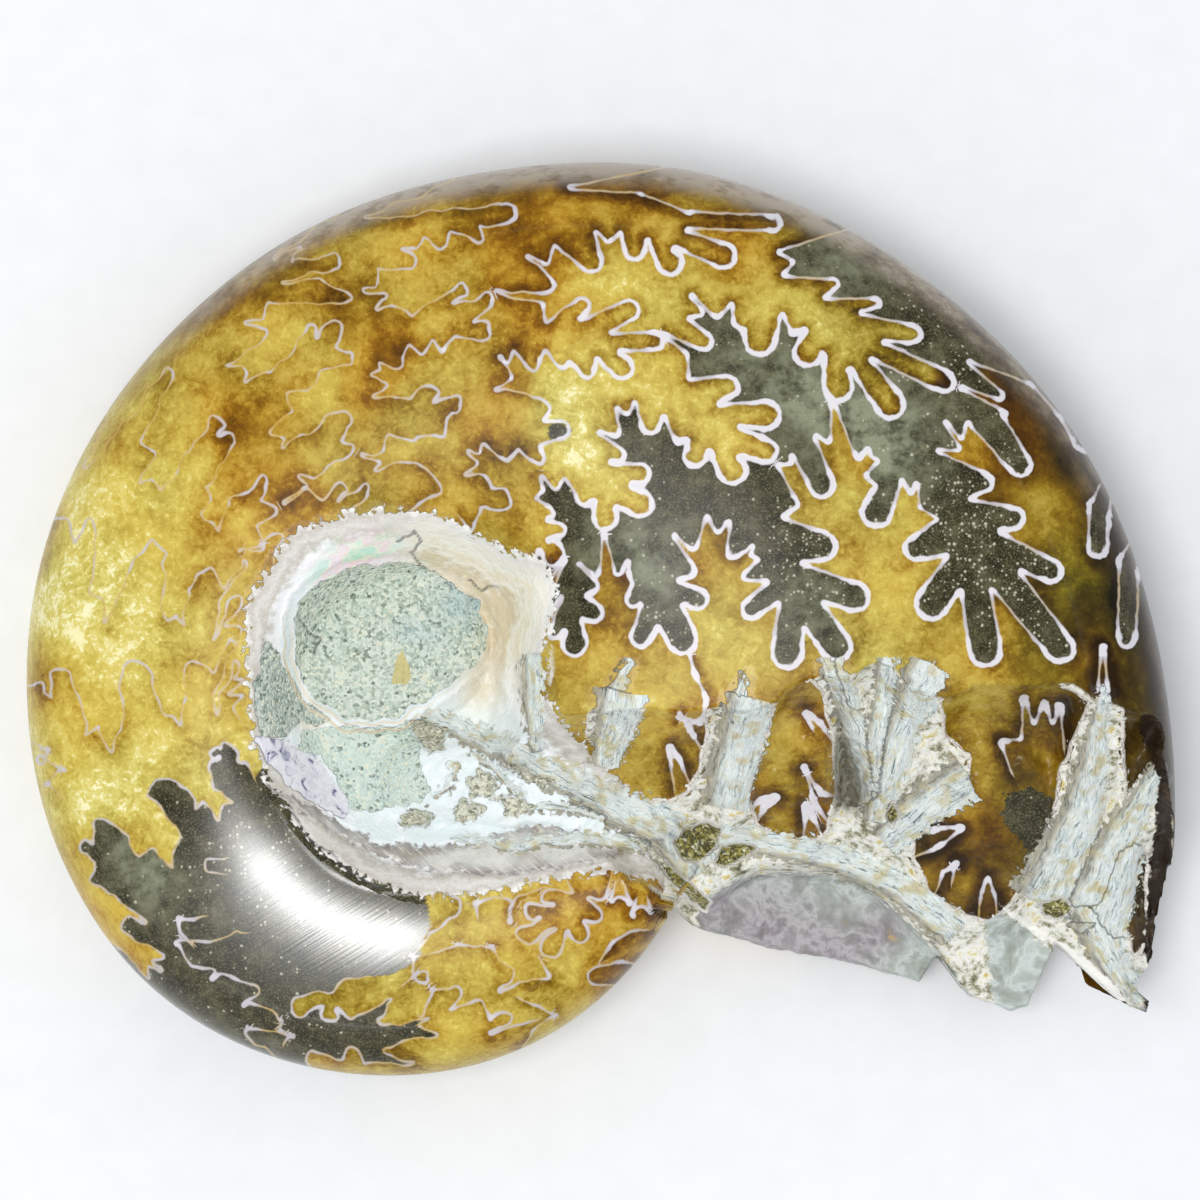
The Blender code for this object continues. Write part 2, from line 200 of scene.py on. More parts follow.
THIRD_SUTURE = (
    (700, 160), (570, 188), (640, 196, 3), (690, 212), (690, 213, 1), (773, 223, 8), (688, 230),
    (724, 256, 12), (676, 249), (670, 262, 13), (648, 241), (634, 250, 10), (620, 234), (608, 240, 3),
    (596, 233), (591, 261, 11), (555, 248), (545, 260, 4), (528, 256), (546, 284, 8), (500, 293),
    (542, 306, 3), (547, 320), (582, 306, 8), (582, 319), (629, 310, 10), (612, 332), (655, 341, 9),
    (621, 352), (622, 368, 11), (597, 360), (587, 370, 8), (570, 362), (561, 362, 6), (545, 353),
    (533, 362, 8), (514, 352), (506, 362, 2), (501, 358), (511, 378, 3), (497, 388), (541, 408, 8),
    (545, 419), (560, 430, 9), (543, 445), (538, 458, 7), (517, 452), (505, 456, 5), (486, 446),
    (480, 452, 2), (468, 454), (477, 463, 2), (469, 473), (484, 478, 3), (490, 487), (503, 500, 9),
    (480, 508), (470, 525, 6), (455, 512),
)
FOURTH_SUTURE = (
    (480, 168), (364, 219), (509, 213, 9), (478, 226), (478, 238, 4), (453, 235), (441, 243, 5), (421, 237),
    (413, 246, 2), (404, 248), (408, 262, 8), (381, 272), (374, 282, 3), (364, 290), (383, 297, 4),
    (376, 307), (392, 308, 3), (410, 313), (461, 290, 7), (456, 304), (488, 300, 7), (473, 320),
    (484, 330, 8), (455, 339), (444, 350, 4), (433, 343), (421, 352, 4), (408, 348), (398, 362, 5),
    (380, 362), (377, 369, 2), (370, 375), (384, 386, 5), (374, 397), (396, 400, 3), (410, 398),
    (430, 391, 6), (436, 401), (454, 404, 8), (446, 421), (439, 433, 6), (418, 437), (409, 441, 4),
    (390, 438), (382, 449, 3), (362, 456), (378, 462, 2), (377, 470), (405, 466, 4), (418, 463),
    (430, 487, 10), (420, 505), (405, 512, 4), (398, 528),
)
FIFTH_SUTURE = (
    (350, 205), (273, 258), (300, 246, 2), (292, 262), (335, 262, 6), (285, 284), (318, 285, 5),
    (345, 297, 5), (270, 303), (262, 315, 3), (248, 322), (262, 333, 5), (228, 366), (246, 372, 3),
    (247, 381), (270, 374, 3), (292, 350), (310, 328, 6), (316, 338), (335, 330, 9), (338, 347),
    (350, 356, 6), (322, 371), (305, 388, 3), (288, 395), (291, 412, 3), (268, 433), (283, 438, 2),
    (282, 449), (302, 437, 3), (320, 425), (343, 420, 10), (340, 441), (346, 452, 8), (327, 468),
    (312, 476, 3), (300, 478), (305, 487, 2), (283, 503), (306, 494, 3), (322, 498), (340, 488, 6),
    (338, 500), (364, 492, 7), (350, 512), (352, 530),
)
SIXTH_SUTURE = (
    (120, 385), (87, 466), (170, 374, 5), (143, 442), (152, 452, 3), (141, 483), (152, 480, 2), (160, 489),
    (176, 472, 3), (190, 446), (206, 436, 3), (218, 425, 8), (222, 434), (228, 441, 7), (207, 487),
    (212, 499, 3), (200, 516), (211, 523, 2), (218, 529), (232, 503, 3), (246, 494, 4), (262, 484, 8),
    (262, 502), (272, 512, 4), (258, 528), (262, 546, 4), (240, 552), (276, 540, 6), (270, 562),
)
SEVENTH_SUTURE = (
    (30, 520), (62, 524, 8), (76, 545), (88, 527, 7), (95, 560), (88, 575, 4), (90, 592), (98, 600, 3),
    (103, 621), (121, 603, 4), (130, 568), (152, 554, 13), (164, 592), (168, 619), (175, 616, 2),
    (183, 621), (190, 590, 4), (206, 575, 8), (227, 586), (246, 563, 3), (222, 602), (214, 637),
    (236, 604, 6), (228, 628), (240, 628, 3), (236, 645),
)
EIGHTH_SUTURE = (
    (12, 700), (37, 688, 7), (51, 698), (59, 677, 9), (80, 698), (86, 716), (88, 731), (98, 727, 2),
    (110, 751), (124, 732, 4), (121, 700), (138, 674, 14), (160, 700), (170, 716), (174, 719, 1),
    (179, 723), (185, 700, 3), (194, 668, 8), (214, 672), (231, 642, 4), (217, 690), (215, 711),
    (236, 664, 3), (232, 676), (240, 680, 3), (232, 692), (241, 696, 3), (233, 708), (244, 722, 4),
)
MUD_SUTURE = (
    (85, 930), (118, 949, 2), (150, 979), (149, 966, 1), (159, 971), (150, 959, 1), (159, 956),
    (131, 926, 9), (144, 921), (133, 907, 3), (120, 898, 3), (104, 893), (96, 877, 6), (94, 862),
    (83, 846, 6), (94, 843), (103, 826, 8), (128, 833), (141, 858), (153, 851, 3), (172, 866),
    (175, 852, 2), (181, 838), (165, 792, 15), (188, 790), (197, 806), (203, 804, 3), (218, 817),
    (222, 808, 2), (232, 803), (215, 786, 4), (211, 766, 5), (219, 757), (214, 753, 6), (222, 750),
    (230, 752, 7), (238, 758), (244, 766, 5), (252, 778),
)
BOTTOM_SUTURE = (
    (330, 1090), (314, 1056, 8), (341, 1059), (352, 1055, 7), (366, 1064), (410, 1064), (389, 1053, 3),
    (398, 1042), (437, 1033), (420, 1026, 1), (428, 1021), (383, 1021, 6), (393, 1001), (352, 1010, 7),
    (340, 1009), (329, 1015, 8), (320, 1008), (301, 1005, 10), (330, 990), (345, 984, 4), (372, 976),
)
FLOWER_SUTURE = (
    (612, 872), (601, 894, 6), (588, 899), (594, 915, 8), (584, 922), (580, 934, 9), (569, 931),
    (551, 947, 11), (553, 928), (529, 933, 11), (541, 917), (533, 910, 7), (553, 905), (548, 896, 7),
    (572, 893), (566, 878),
)
SUTURES = (
    FRONT_SUTURE, SECOND_SUTURE, THIRD_SUTURE, FOURTH_SUTURE, FIFTH_SUTURE, SIXTH_SUTURE, SEVENTH_SUTURE,
    EIGHTH_SUTURE, MUD_SUTURE, BOTTOM_SUTURE, FLOWER_SUTURE,
)
# Short lines and teeth in the mud, in the bottom crystal and beside the break.
SHORT_LINES = (
    ((250, 930), (205, 941), (176, 945), (172, 954, 9), (192, 966), (204, 975, 8), (212, 980),
     (222, 981, 7), (236, 980), (250, 990, 8), (244, 1004), (252, 1008, 7), (284, 1018), (280, 1030, 2),
     (290, 1036), (284, 1043)),
    ((275, 1056), (253, 1034, 7), (249, 1026), (285, 1034)),
    ((192, 944), (184, 928, 8), (178, 919), (193, 926, 7), (205, 915)),
    ((222, 872), (213, 864, 6), (224, 857)),
    ((600, 962), (616, 951, 8), (612, 941), (634, 940, 9), (648, 930)),
    ((640, 985), (597, 976, 9), (622, 960), (650, 968)),
    ((615, 884), (612, 900), (620, 905, 8), (629, 903), (624, 884)),
    ((636, 900), (633, 915), (641, 914, 8), (651, 912), (648, 900)),
    ((478, 918), (486, 908, 8), (476, 901), (506, 906, 6), (512, 922), (520, 905, 7), (540, 888)),
    ((420, 1018), (437, 1005, 9), (428, 988), (458, 992, 6), (452, 1010), (476, 1004, 6), (490, 1018),
     (502, 1020, 8), (492, 1034), (520, 1030, 5), (540, 1018)),
    ((400, 985), (420, 975, 7), (410, 955), (440, 960, 6), (455, 942), (470, 955, 7), (492, 945),
     (505, 975, 7), (498, 992), (516, 990, 6), (548, 975), (540, 960)),
    ((520, 1000), (535, 1010, 6), (556, 1016), (530, 1028, 4), (522, 1045)),
    ((430, 890), (452, 905, 8), (448, 925), (430, 932, 5), (418, 950)),
    ((36, 742), (46, 748), (40, 760, 4), (62, 768), (48, 784, 3), (60, 796)),
    ((1146, 545), (1140, 570), (1127, 638, 9), (1118, 560), (1132, 540)),
    ((1112, 490), (1110, 520), (1098, 548, 9), (1088, 505), (1100, 485)),
    ((1096, 700), (1106, 690), (1103, 648), (1098, 690)),
    ((1064, 750), (1060, 706), (1053, 722, 2), (1044, 704), (1034, 722, 2), (1024, 698), (1020, 738, 2),
     (1002, 742), (1012, 774)),
    ((916, 856), (938, 846), (960, 828), (936, 830), (914, 836)),
    ((936, 892), (942, 872), (956, 864), (952, 884)),
    ((996, 914), (994, 896), (988, 880), (982, 894), (978, 918)),
    ((830, 738), (820, 724), (806, 714), (812, 728)),
    ((826, 820), (812, 800), (804, 768), (822, 792), (832, 796)),
    ((756, 822), (764, 806), (776, 798), (762, 800), (750, 808)),
    ((822, 838), (812, 816), (806, 806), (804, 840)),
    ((702, 750), (690, 732), (680, 716), (700, 722), (706, 700), (694, 676), (690, 656)),
    ((690, 784), (678, 760), (670, 748), (674, 790)),
)
# How much the white line widens at sharp tips, at the teeth of short lines and at round ends, the most that
# it may, and how far round a sharp tip.
TIP_WHITE, TOOTH_WHITE, END_WHITE, MOST_WHITE = 1.3, 2.6, 2.4, 3.4
TIP_WHITE_REACH = 6.0
# Radius of a sharp tip, and how far from a line its distance is still worked out.
TIP_RADIUS = 1.3
LINE_REACH = 40.0
# Sutures are thin on the inner whorl and wide by the mouth: across and down the drawing, and how much of
# the widening at tips a thin one keeps.
WIDE_ACROSS, WIDE_DOWN = (350, 760), (900, 840)
THIN_WHITE = 0.35
# A line's waver, and the frills that grow on it towards the inner whorl: swing and size of each, and where
# across the drawing the frills start and are full.
WAVER_SWING, WAVER_SIZE = 0.9, 7.0
FRILL_SWING, FRILL_SIZE = 5.5, 15.0
FRILLS_START, FRILLS_FULL = 640, 480

# Where mud's edge isn't a suture: along the venter and the umbilicus, and round single fingers.
MUD_RIM = ((1120, 470), (1130, 400), (1040, 290), (930, 210), (860, 200))
MUD_EDGE = (
    (262, 765), (292, 795), (332, 835), (382, 862), (424, 880), (430, 925), (418, 960), (392, 975),
    (378, 976),
)
MUD_VENTER = ((240, 1060), (120, 1000), (70, 950))
MUD_SPOTS = (
    ((1140, 560), (1122, 562), (1118, 600), (1119, 640), (1127, 650), (1137, 640), (1142, 600)),
    ((1104, 500), (1091, 506), (1089, 545), (1098, 558), (1107, 548), (1112, 500)),
    ((549, 425), (560, 422), (572, 430), (562, 440), (548, 438)),
)

# Amber crystal: place, reach, lightness from brown to cream, warmth from olive to orange.
CRYSTAL_TONES = (
    (110, 470, 50, 0.8, 0.6), (90, 560, 30, 0.97, 0.3), (70, 605, 28, 0.97, 0.25),
    (110, 650, 40, 0.92, 0.35), (150, 600, 28, 0.9, 0.35), (55, 668, 22, 0.62, 0.8),
    (40, 550, 20, 0.45, 0.4), (100, 740, 40, 0.74, 0.6), (90, 800, 40, 0.9, 0.4),
    (150, 740, 40, 0.8, 0.55), (190, 640, 30, 0.74, 0.65), (205, 560, 30, 0.58, 0.85),
    (160, 505, 30, 0.8, 0.6), (190, 515, 18, 0.72, 0.9), (160, 440, 30, 0.66, 0.45),
    (250, 425, 22, 0.32, 1.0), (250, 465, 20, 0.42, 1.0), (230, 385, 30, 0.55, 0.7),
    (295, 335, 32, 0.68, 0.6), (270, 285, 32, 0.45, 0.75), (360, 250, 45, 0.56, 0.75),
    (350, 312, 20, 0.4, 1.0), (390, 330, 22, 0.34, 1.0), (366, 382, 22, 0.4, 1.0),
    (325, 380, 26, 0.62, 0.8), (320, 440, 30, 0.56, 0.75), (295, 480, 18, 0.4, 1.0),
    (440, 280, 42, 0.58, 0.7), (470, 330, 30, 0.6, 0.65), (460, 368, 26, 0.6, 0.85),
    (500, 235, 30, 0.36, 1.0), (545, 235, 34, 0.34, 1.0), (610, 215, 36, 0.42, 1.0),
    (510, 285, 20, 0.38, 1.0), (530, 320, 24, 0.48, 1.0), (490, 400, 24, 0.42, 1.0),
    (480, 424, 20, 0.48, 1.0), (410, 420, 28, 0.55, 0.6), (440, 470, 34, 0.52, 0.6),
    (500, 470, 26, 0.5, 0.6), (580, 385, 32, 0.86, 0.5), (570, 335, 24, 0.62, 0.7),
    (590, 455, 34, 0.84, 0.55), (620, 400, 30, 0.76, 0.6), (690, 410, 38, 0.76, 0.5),
    (715, 430, 26, 0.78, 0.45), (650, 310, 34, 0.72, 0.6), (610, 275, 30, 0.84, 0.45),
    (720, 280, 40, 0.68, 0.65), (800, 300, 40, 0.68, 0.45), (850, 330, 32, 0.68, 0.4),
    (740, 335, 30, 0.7, 0.5), (670, 222, 40, 0.45, 0.9), (760, 240, 40, 0.5, 0.7),
    (805, 250, 24, 0.34, 0.4), (840, 460, 20, 0.48, 0.8), (830, 515, 26, 0.64, 0.5),
    (870, 560, 32, 0.7, 0.5), (880, 620, 38, 0.66, 0.6), (930, 640, 28, 0.6, 0.55),
    (960, 665, 36, 0.5, 0.5), (1010, 690, 36, 0.52, 0.5), (715, 555, 26, 0.45, 0.8),
    (740, 600, 24, 0.62, 0.6), (725, 640, 36, 0.68, 0.55), (680, 685, 40, 0.58, 0.85),
    (612, 600, 26, 0.44, 0.8), (600, 660, 26, 0.55, 0.7), (965, 442, 20, 0.42, 0.6),
    (1000, 485, 30, 0.26, 0.7), (1045, 512, 26, 0.42, 0.4), (1060, 545, 28, 0.4, 0.35),
    (1075, 620, 34, 0.24, 0.35), (1050, 680, 34, 0.34, 0.4), (1100, 700, 36, 0.12, 0.3),
    (1120, 560, 30, 0.12, 0.3), (1005, 412, 26, 0.2, 0.85), (1080, 480, 34, 0.12, 0.4),
    (620, 900, 30, 0.55, 1.0), (600, 950, 26, 0.46, 1.0), (550, 930, 24, 0.55, 0.8),
    (520, 962, 30, 0.58, 0.85), (450, 960, 40, 0.66, 0.6), (430, 1000, 30, 0.72, 0.55),
    (500, 1010, 40, 0.64, 0.65), (560, 1000, 32, 0.68, 0.5), (470, 1052, 40, 0.52, 0.8),
    (595, 1005, 34, 0.55, 0.6), (640, 960, 20, 0.28, 0.5), (400, 1062, 34, 0.6, 0.7),
    (340, 1000, 26, 0.62, 0.6), (120, 885, 26, 0.62, 0.95), (100, 850, 22, 0.72, 0.8),
    (140, 935, 16, 0.64, 0.95), (60, 850, 26, 0.66, 0.6), (960, 760, 36, 0.45, 0.5),
    (940, 830, 30, 0.3, 0.55), (980, 860, 40, 0.22, 0.4), (1020, 740, 30, 0.36, 0.4),
    (1000, 890, 26, 0.22, 0.55), (1040, 770, 24, 0.2, 0.4), (640, 770, 30, 0.55, 0.7),
    (650, 700, 30, 0.62, 0.75), (790, 720, 30, 0.48, 0.7), (800, 800, 30, 0.42, 0.6),
    (570, 700, 24, 0.52, 0.55), (690, 760, 20, 0.45, 0.6), (500, 985, 45, 0.8, 0.5),
    (540, 940, 34, 0.74, 0.6), (450, 1010, 34, 0.8, 0.5), (640, 950, 24, 0.58, 0.7),
    (420, 1030, 24, 0.74, 0.55),
)
# The crystal's lightness and warmth at the venter by the mouth.
RIM_TONE = (0.16, 0.25)
# Mud with coarse pale grains: place, reach, strength.
GRAINY_MUD = (
    (975, 545, 45, 1.0), (960, 480, 22, 1.0), (1020, 460, 18, 1.0), (1040, 570, 20, 1.0),
    (1055, 458, 10, 1.0), (1030, 620, 30, 0.7), (815, 560, 40, 0.7), (850, 590, 22, 0.8),
    (940, 330, 30, 0.3), (685, 625, 22, 0.6), (570, 640, 16, 0.5), (700, 590, 12, 0.6), (260, 850, 50, 0.5),
    (820, 540, 20, 0.6),
)
# Mud that is scored by the wheel and holds wax.
SCORED = ((350, 925, 60, 1.3), (290, 900, 50, 0.8), (220, 930, 55, 0.35))
# Mud so thin that it looks like green haze.
HAZY_MUD = (
    (800, 395, 22, 1.0), (850, 425, 40, 0.9), (900, 450, 30, 0.8), (840, 270, 30, 0.7), (150, 880, 22, 0.9),
    (130, 845, 20, 0.6), (650, 570, 26, 0.7), (610, 545, 22, 0.6), (820, 610, 26, 0.7), (880, 425, 28, 0.6),
    (760, 350, 30, 0.5), (740, 370, 24, 0.4),
)
# The broken face, drawn as seen: crystal left in its chambers, and the runs of fibre along its septa.
CHAMBERS = (
    ((552, 672), (570, 664), (590, 676), (591, 705), (588, 735), (576, 751), (553, 751), (545, 735),
     (547, 705)),
    ((640, 660), (668, 650), (700, 660), (710, 700), (706, 735), (700, 765), (690, 790), (670, 800),
     (640, 804), (622, 795), (613, 770), (625, 745), (641, 715), (646, 690)),
    ((776, 672), (800, 668), (822, 690), (830, 730), (836, 765), (835, 800), (828, 830), (805, 847),
     (780, 839), (755, 823), (745, 795), (758, 760), (770, 720)),
    ((935, 670), (975, 665), (1040, 670), (1090, 700), (1062, 765), (1056, 800), (1050, 835), (1030, 870),
     (1010, 903), (990, 921), (965, 916), (930, 892), (915, 862), (912, 835), (930, 810), (966, 790),
     (970, 760), (945, 735)),
    ((1132, 850), (1146, 852), (1148, 900), (1146, 940), (1134, 958), (1126, 930), (1132, 890)),
    ((1121, 690), (1158, 670), (1166, 740), (1158, 764), (1138, 782), (1127, 800), (1123, 760)),
)
FIBRE_RUNS = (
    (10, 26, (425, 712), (500, 748), (560, 780), (620, 808), (670, 832), (702, 872)),
    (12, 18, (700, 836), (760, 842), (830, 856), (900, 888), (955, 936)),
    (12, 9, (534, 655), (538, 752)),
    (27, 15, (621, 690), (604, 768)),
    (24, 25, (750, 697), (724, 808)),
    (7, 22, (824, 655), (856, 740), (872, 800)),
    (10, 18, (888, 648), (880, 720), (868, 800)),
    (22, 16, (930, 662), (898, 740), (876, 822)),
    (26, 18, (968, 776), (918, 812), (884, 842)),
    (6, 36, (1104, 686), (1092, 760), (1074, 830), (1040, 905)),
    (10, 30, (1160, 768), (1118, 840), (1084, 912)),
    (20, 30, (1128, 840), (1108, 900), (1092, 940)),
    (28, 12, (1088, 900), (1106, 950), (1138, 1002)),
    (3, 9, (632, 648), (616, 692)),
    (3, 12, (838, 650), (850, 712)),
    (2, 8, (926, 612), (912, 652)),
    (3, 8, (748, 672), (738, 700)),
    (4, 9, (452, 838), (520, 846), (590, 838), (650, 846)),
    (3, 8, (512, 812), (560, 806), (620, 818)),
    (3, 6, (470, 752), (498, 770), (520, 800)),
    (2, 6, (428, 800), (446, 786), (456, 762)),
)
# A hollow in the break: sunk in the relief, and painted dark as the shade inside it.
HOLLOW = ((838, 690), (846, 735), (862, 768), (870, 798), (852, 814), (832, 802), (832, 770), (837, 735))
VENTER_STRIP = (
    (1150, 660), (1172, 690), (1174, 960), (1152, 986), (1143, 942), (1151, 860), (1159, 780), (1140, 730),
)
DARK_MUD = (
    (1008, 792), (1030, 786), (1052, 800), (1056, 830), (1046, 856), (1030, 862), (1016, 838), (1002, 815),
)
# Painted shade on the ledge, beside the wedge that overhangs it: place, reach, strength.
LEDGE_SHADE = ((760, 930, 40, 1.0), (840, 955, 34, 0.9), (700, 900, 20, 0.8), (885, 930, 16, 0.8))
STONE_LEDGE = (
    (700, 905), (740, 878), (800, 872), (860, 880), (912, 925), (945, 962), (975, 1003), (1020, 1030),
    (1066, 965), (1008, 912), (985, 920), (1000, 1060), (900, 1060), (690, 990),
)
BLADE = ((1001, 904), (1040, 930), (1090, 962), (1136, 1004), (1122, 1006), (1062, 952), (1008, 916))

# The umbilicus, drawn as seen: its fill of sand, the mud beside it, and what else shows between the shell.
SAND = (
    (348, 568), (379, 564), (430, 569), (460, 588), (480, 605), (488, 628), (486, 648), (470, 668),
    (448, 687), (423, 703), (398, 716), (373, 722), (345, 716), (318, 702), (303, 682), (297, 655),
    (296, 623), (302, 598), (318, 582),
)
SAND_SLIVER = (
    (264, 640), (272, 645), (288, 672), (300, 692), (316, 708), (328, 718), (318, 728), (300, 722),
    (284, 735), (266, 738), (257, 712), (256, 680),
)
GREEN_MUD = (
    (318, 728), (345, 726), (373, 730), (405, 722), (418, 740), (420, 765), (430, 788), (424, 800),
    (395, 807), (358, 812), (346, 800), (336, 775), (318, 756), (296, 748), (305, 735),
)
MARBLED = (
    (257, 738), (284, 738), (300, 750), (322, 762), (338, 785), (352, 812), (338, 818), (312, 802),
    (286, 780), (266, 762),
)
NACRE_CRESCENT = (
    (268, 790), (300, 800), (340, 824), (380, 842), (430, 846), (480, 840), (540, 824), (600, 836),
    (632, 850), (600, 860), (560, 868), (500, 874), (430, 872), (385, 858), (342, 838), (305, 815),
)
UMBILICUS_EDGE = (
    (250, 690), (244, 650), (250, 600), (270, 560), (300, 528), (345, 512), (400, 510), (450, 520),
    (500, 545), (545, 560), (556, 590), (548, 640), (540, 680), (560, 720), (640, 800), (700, 880),
    (690, 905), (655, 880), (600, 872), (540, 882), (470, 898), (420, 896), (375, 884), (330, 858),
    (290, 815), (262, 775), (252, 730),
)
# Small pockets in the white web between the umbilicus and the root, and in the broken mouth.
POCKETS = (
    ((410, 722), (428, 716), (444, 730), (446, 752), (428, 754), (416, 742)),
    ((468, 778), (480, 768), (494, 774), (502, 788), (490, 800), (474, 800)),
    ((448, 808), (466, 800), (486, 806), (474, 820), (454, 822)),
    ((398, 816), (420, 808), (438, 814), (428, 826), (404, 828)),
    ((500, 800), (520, 796), (536, 808), (520, 818), (504, 814)),
    ((512, 762), (534, 770), (556, 784), (540, 786), (518, 776)),
    ((1040, 902), (1062, 896), (1074, 908), (1060, 920), (1044, 916)),
    ((884, 815), (892, 800), (900, 814), (892, 828)),
    ((672, 842), (684, 828), (706, 822), (722, 828), (716, 848), (700, 862), (682, 860)),
    ((714, 864), (722, 846), (744, 842), (758, 848), (744, 858), (726, 868)),
    ((632, 838), (644, 842), (712, 902), (706, 912), (690, 902)),
)
# Tints in the shell and the sand.
TAN_SHELL = (
    (508, 640, 26, 1.0), (512, 600, 24, 1.0), (470, 565, 26, 0.9), (425, 545, 22, 0.8), (480, 690, 18, 0.7),
    (312, 720, 10, 0.8), (292, 840, 16, 0.7), (545, 590, 16, 0.5),
)
BLUE_SAND = ((464, 606, 18, 1.0), (430, 640, 12, 0.4), (408, 630, 10, 0.5))
PINK_SHELL = ((357, 560, 16, 1.0), (325, 575, 12, 0.6), (385, 548, 14, 0.5))
CRACKS = (
    ((398, 540), (414, 530), (420, 540), (410, 556), (424, 568)),
    ((300, 612), (306, 632), (316, 640), (314, 655)),
    ((289, 810), (312, 838), (337, 860), (360, 878), (383, 891)),
    ((470, 578), (484, 590), (500, 588)),
    ((790, 880), (860, 888)),
)
GRAIN_CHIP = ((392, 683), (394, 668), (400, 655), (406, 652), (411, 668), (412, 678), (406, 684))

# Outlines that materials and relief know by name.
ZONES = {
    "ledge": STONE_LEDGE, "blade": BLADE, "edge": UMBILICUS_EDGE, "sand": SAND, "sliver": SAND_SLIVER,
    "hollow": HOLLOW, "strip": VENTER_STRIP, "patch": DARK_MUD, "green": GREEN_MUD, "marbled": MARBLED,
    "crescent": NACRE_CRESCENT, "chip": GRAIN_CHIP,
}


def smooth(low, high, value):
    """A share that eases from 0 at the low value to 1 at the high one."""
    share = np.clip((value - low) / (high - low), 0.0, 1.0)
    return share * share * (3 - 2 * share)


def along(knots, places):
    """Values at places between knots, on a curve that passes through them with no overshoot."""
    knots = sorted(knots.items())
    at, to = (np.array(column, float) for column in zip(*knots))
    slopes = np.diff(to) / np.diff(at)
    tangents = np.concatenate([slopes[:1], 0.5 * (slopes[:-1] + slopes[1:]), slopes[-1:]])
    places = np.clip(places, at[0], at[-1])
    left = np.clip(np.searchsorted(at, places) - 1, 0, len(at) - 2)
    width = at[left + 1] - at[left]
    t = (places - at[left]) / width
    return (
        to[left] * (1 + 2 * t) * (1 - t) ** 2
        + to[left + 1] * t * t * (3 - 2 * t)
        + width * (tangents[left] * t * (1 - t) ** 2 - tangents[left + 1] * t * t * (1 - t))
    )


def falling_share(across):
    """The share of the half thickness left, between the fattest place and the venter."""
    return 1 - FLANK_FALL * ((across - FATTEST_AT) / (1 - FATTEST_AT)) ** 2


class Coil:
    """The shell's coil at places seen from above, in millimetres."""

    def __init__(self, x, y, angle=None):
        dx, dy = x - COIL_AXIS[0], y - COIL_AXIS[1]
        self.radius = np.hypot(dx, dy)
        turned = np.degrees(np.arctan2(dy, dx))
        self.angle = np.where(turned < OPEN_END, turned + 360, turned) if angle is None else angle
        inside = np.minimum(self.angle, INNER_END)
        self.venter, self.rim = along(VENTER_RADIUS, inside), along(RIM_RADIUS, inside)
        grown = (INNER_END - inside) / (INNER_END - OPEN_END)
        self.half = HALF_THICKNESS + HALF_THICKNESS_GAIN * grown**THICKENING
        self.rounding = ROUNDING * self.half
        self.flat = self.venter - self.rounding
        east, north = x - COIL_AXIS[0] / 2, y - COIL_AXIS[1] / 2
        self.middle = MIDDLE_HEIGHT + east * MIDDLE_RISE[0] + north * MIDDLE_RISE[1]
        across = np.maximum(0.0, (np.minimum(self.radius, self.flat) - self.rim) / (self.venter - self.rim))
        rising = 1 - RIM_DROP * (1 - across / FATTEST_AT) ** 2
        self.share = np.where(across < FATTEST_AT, rising, falling_share(across))

    def level(self, side):
        """The height of the upper side, 1, or of the lower, -1, with the funnel of its umbilicus."""
        turn = np.clip((self.radius - self.flat) / self.rounding, 0.0, 1.0)
        rise = self.half * self.share * np.sqrt(1 - turn**2)
        flank = np.maximum(TABLE, self.middle + side * rise)
        floor = UPPER_FLOOR if side > 0 else LOWER_FLOOR
        funnel = floor + (flank - floor) * smooth(PIT_WALL, 1.0, self.radius / self.rim)
        return np.where(self.radius < self.rim, funnel, flank)


def in_outline(outline, x, y):
    """Whether places are inside an outline, by counting the edges to one side of each."""
    inside = np.zeros(len(x), bool)
    for (x0, y0), (x1, y1) in zip(outline, (*outline[1:], outline[0])):
        if y0 == y1:
            continue
        crosses = (y >= min(y0, y1)) & (y < max(y0, y1))
        inside ^= crosses & (x < x0 + (y - y0) * (x1 - x0) / (y1 - y0))
    return inside


def in_plan(x, y):
    """Whether places are on the fossil, seen from above."""
    coil = Coil(x, y)
    body = coil.radius < coil.venter
    body |= in_outline(LEDGE, x, y) | in_outline(TONGUE, x, y)
    return body & ~in_outline(LOST_END, x, y)


def to_frame(points):
    """Where the camera sees points, in the drawing's frame."""
    reach = CAMERA_LENS / CAMERA_SENSOR * FRAME_WIDTH / (CAMERA_PLACE[2] - points[:, 2])
    across = FRAME_WIDTH / 2 + (points[:, 0] - CAMERA_PLACE[0]) * reach
    down = FRAME_WIDTH / 2 - (points[:, 1] - CAMERA_PLACE[1]) * reach
    return across, down


def roughness(points, size, seed=0.0):
    """Noise from -1 to 1 at points, with lumps of a size in millimetres."""
    shift = Vector((seed, seed, seed))
    return np.array([noise.noise(Vector(point) / size + shift) for point in points.tolist()])


class Solid:
    """The model's own surface, asked for heights from above or below, in millimetres."""

    def __init__(self):
        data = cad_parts[NODE].data
        corners = [vertex.co / MM for vertex in data.vertices]
        self.tree = BVHTree.FromPolygons(corners, [face.vertices[:] for face in data.polygons])

    def heights(self, x, y, side):
        """Heights at places. A place that is just off the model is asked for a little further in."""
        start, way = 90.0 * side, Vector((0, 0, -side))
        found = np.full(len(x), np.nan)
        for index, (px, py) in enumerate(zip(x.tolist(), y.tolist())):
            inward = (Vector(SKIN_CENTRE) - Vector((px, py))).normalized()
            for nudge in NUDGES:
                nudged = Vector((px + inward.x * nudge, py + inward.y * nudge, start))
                hit = self.tree.ray_cast(nudged, way)[0]
                if hit is not None:
                    found[index] = hit.z
                    break
        return found


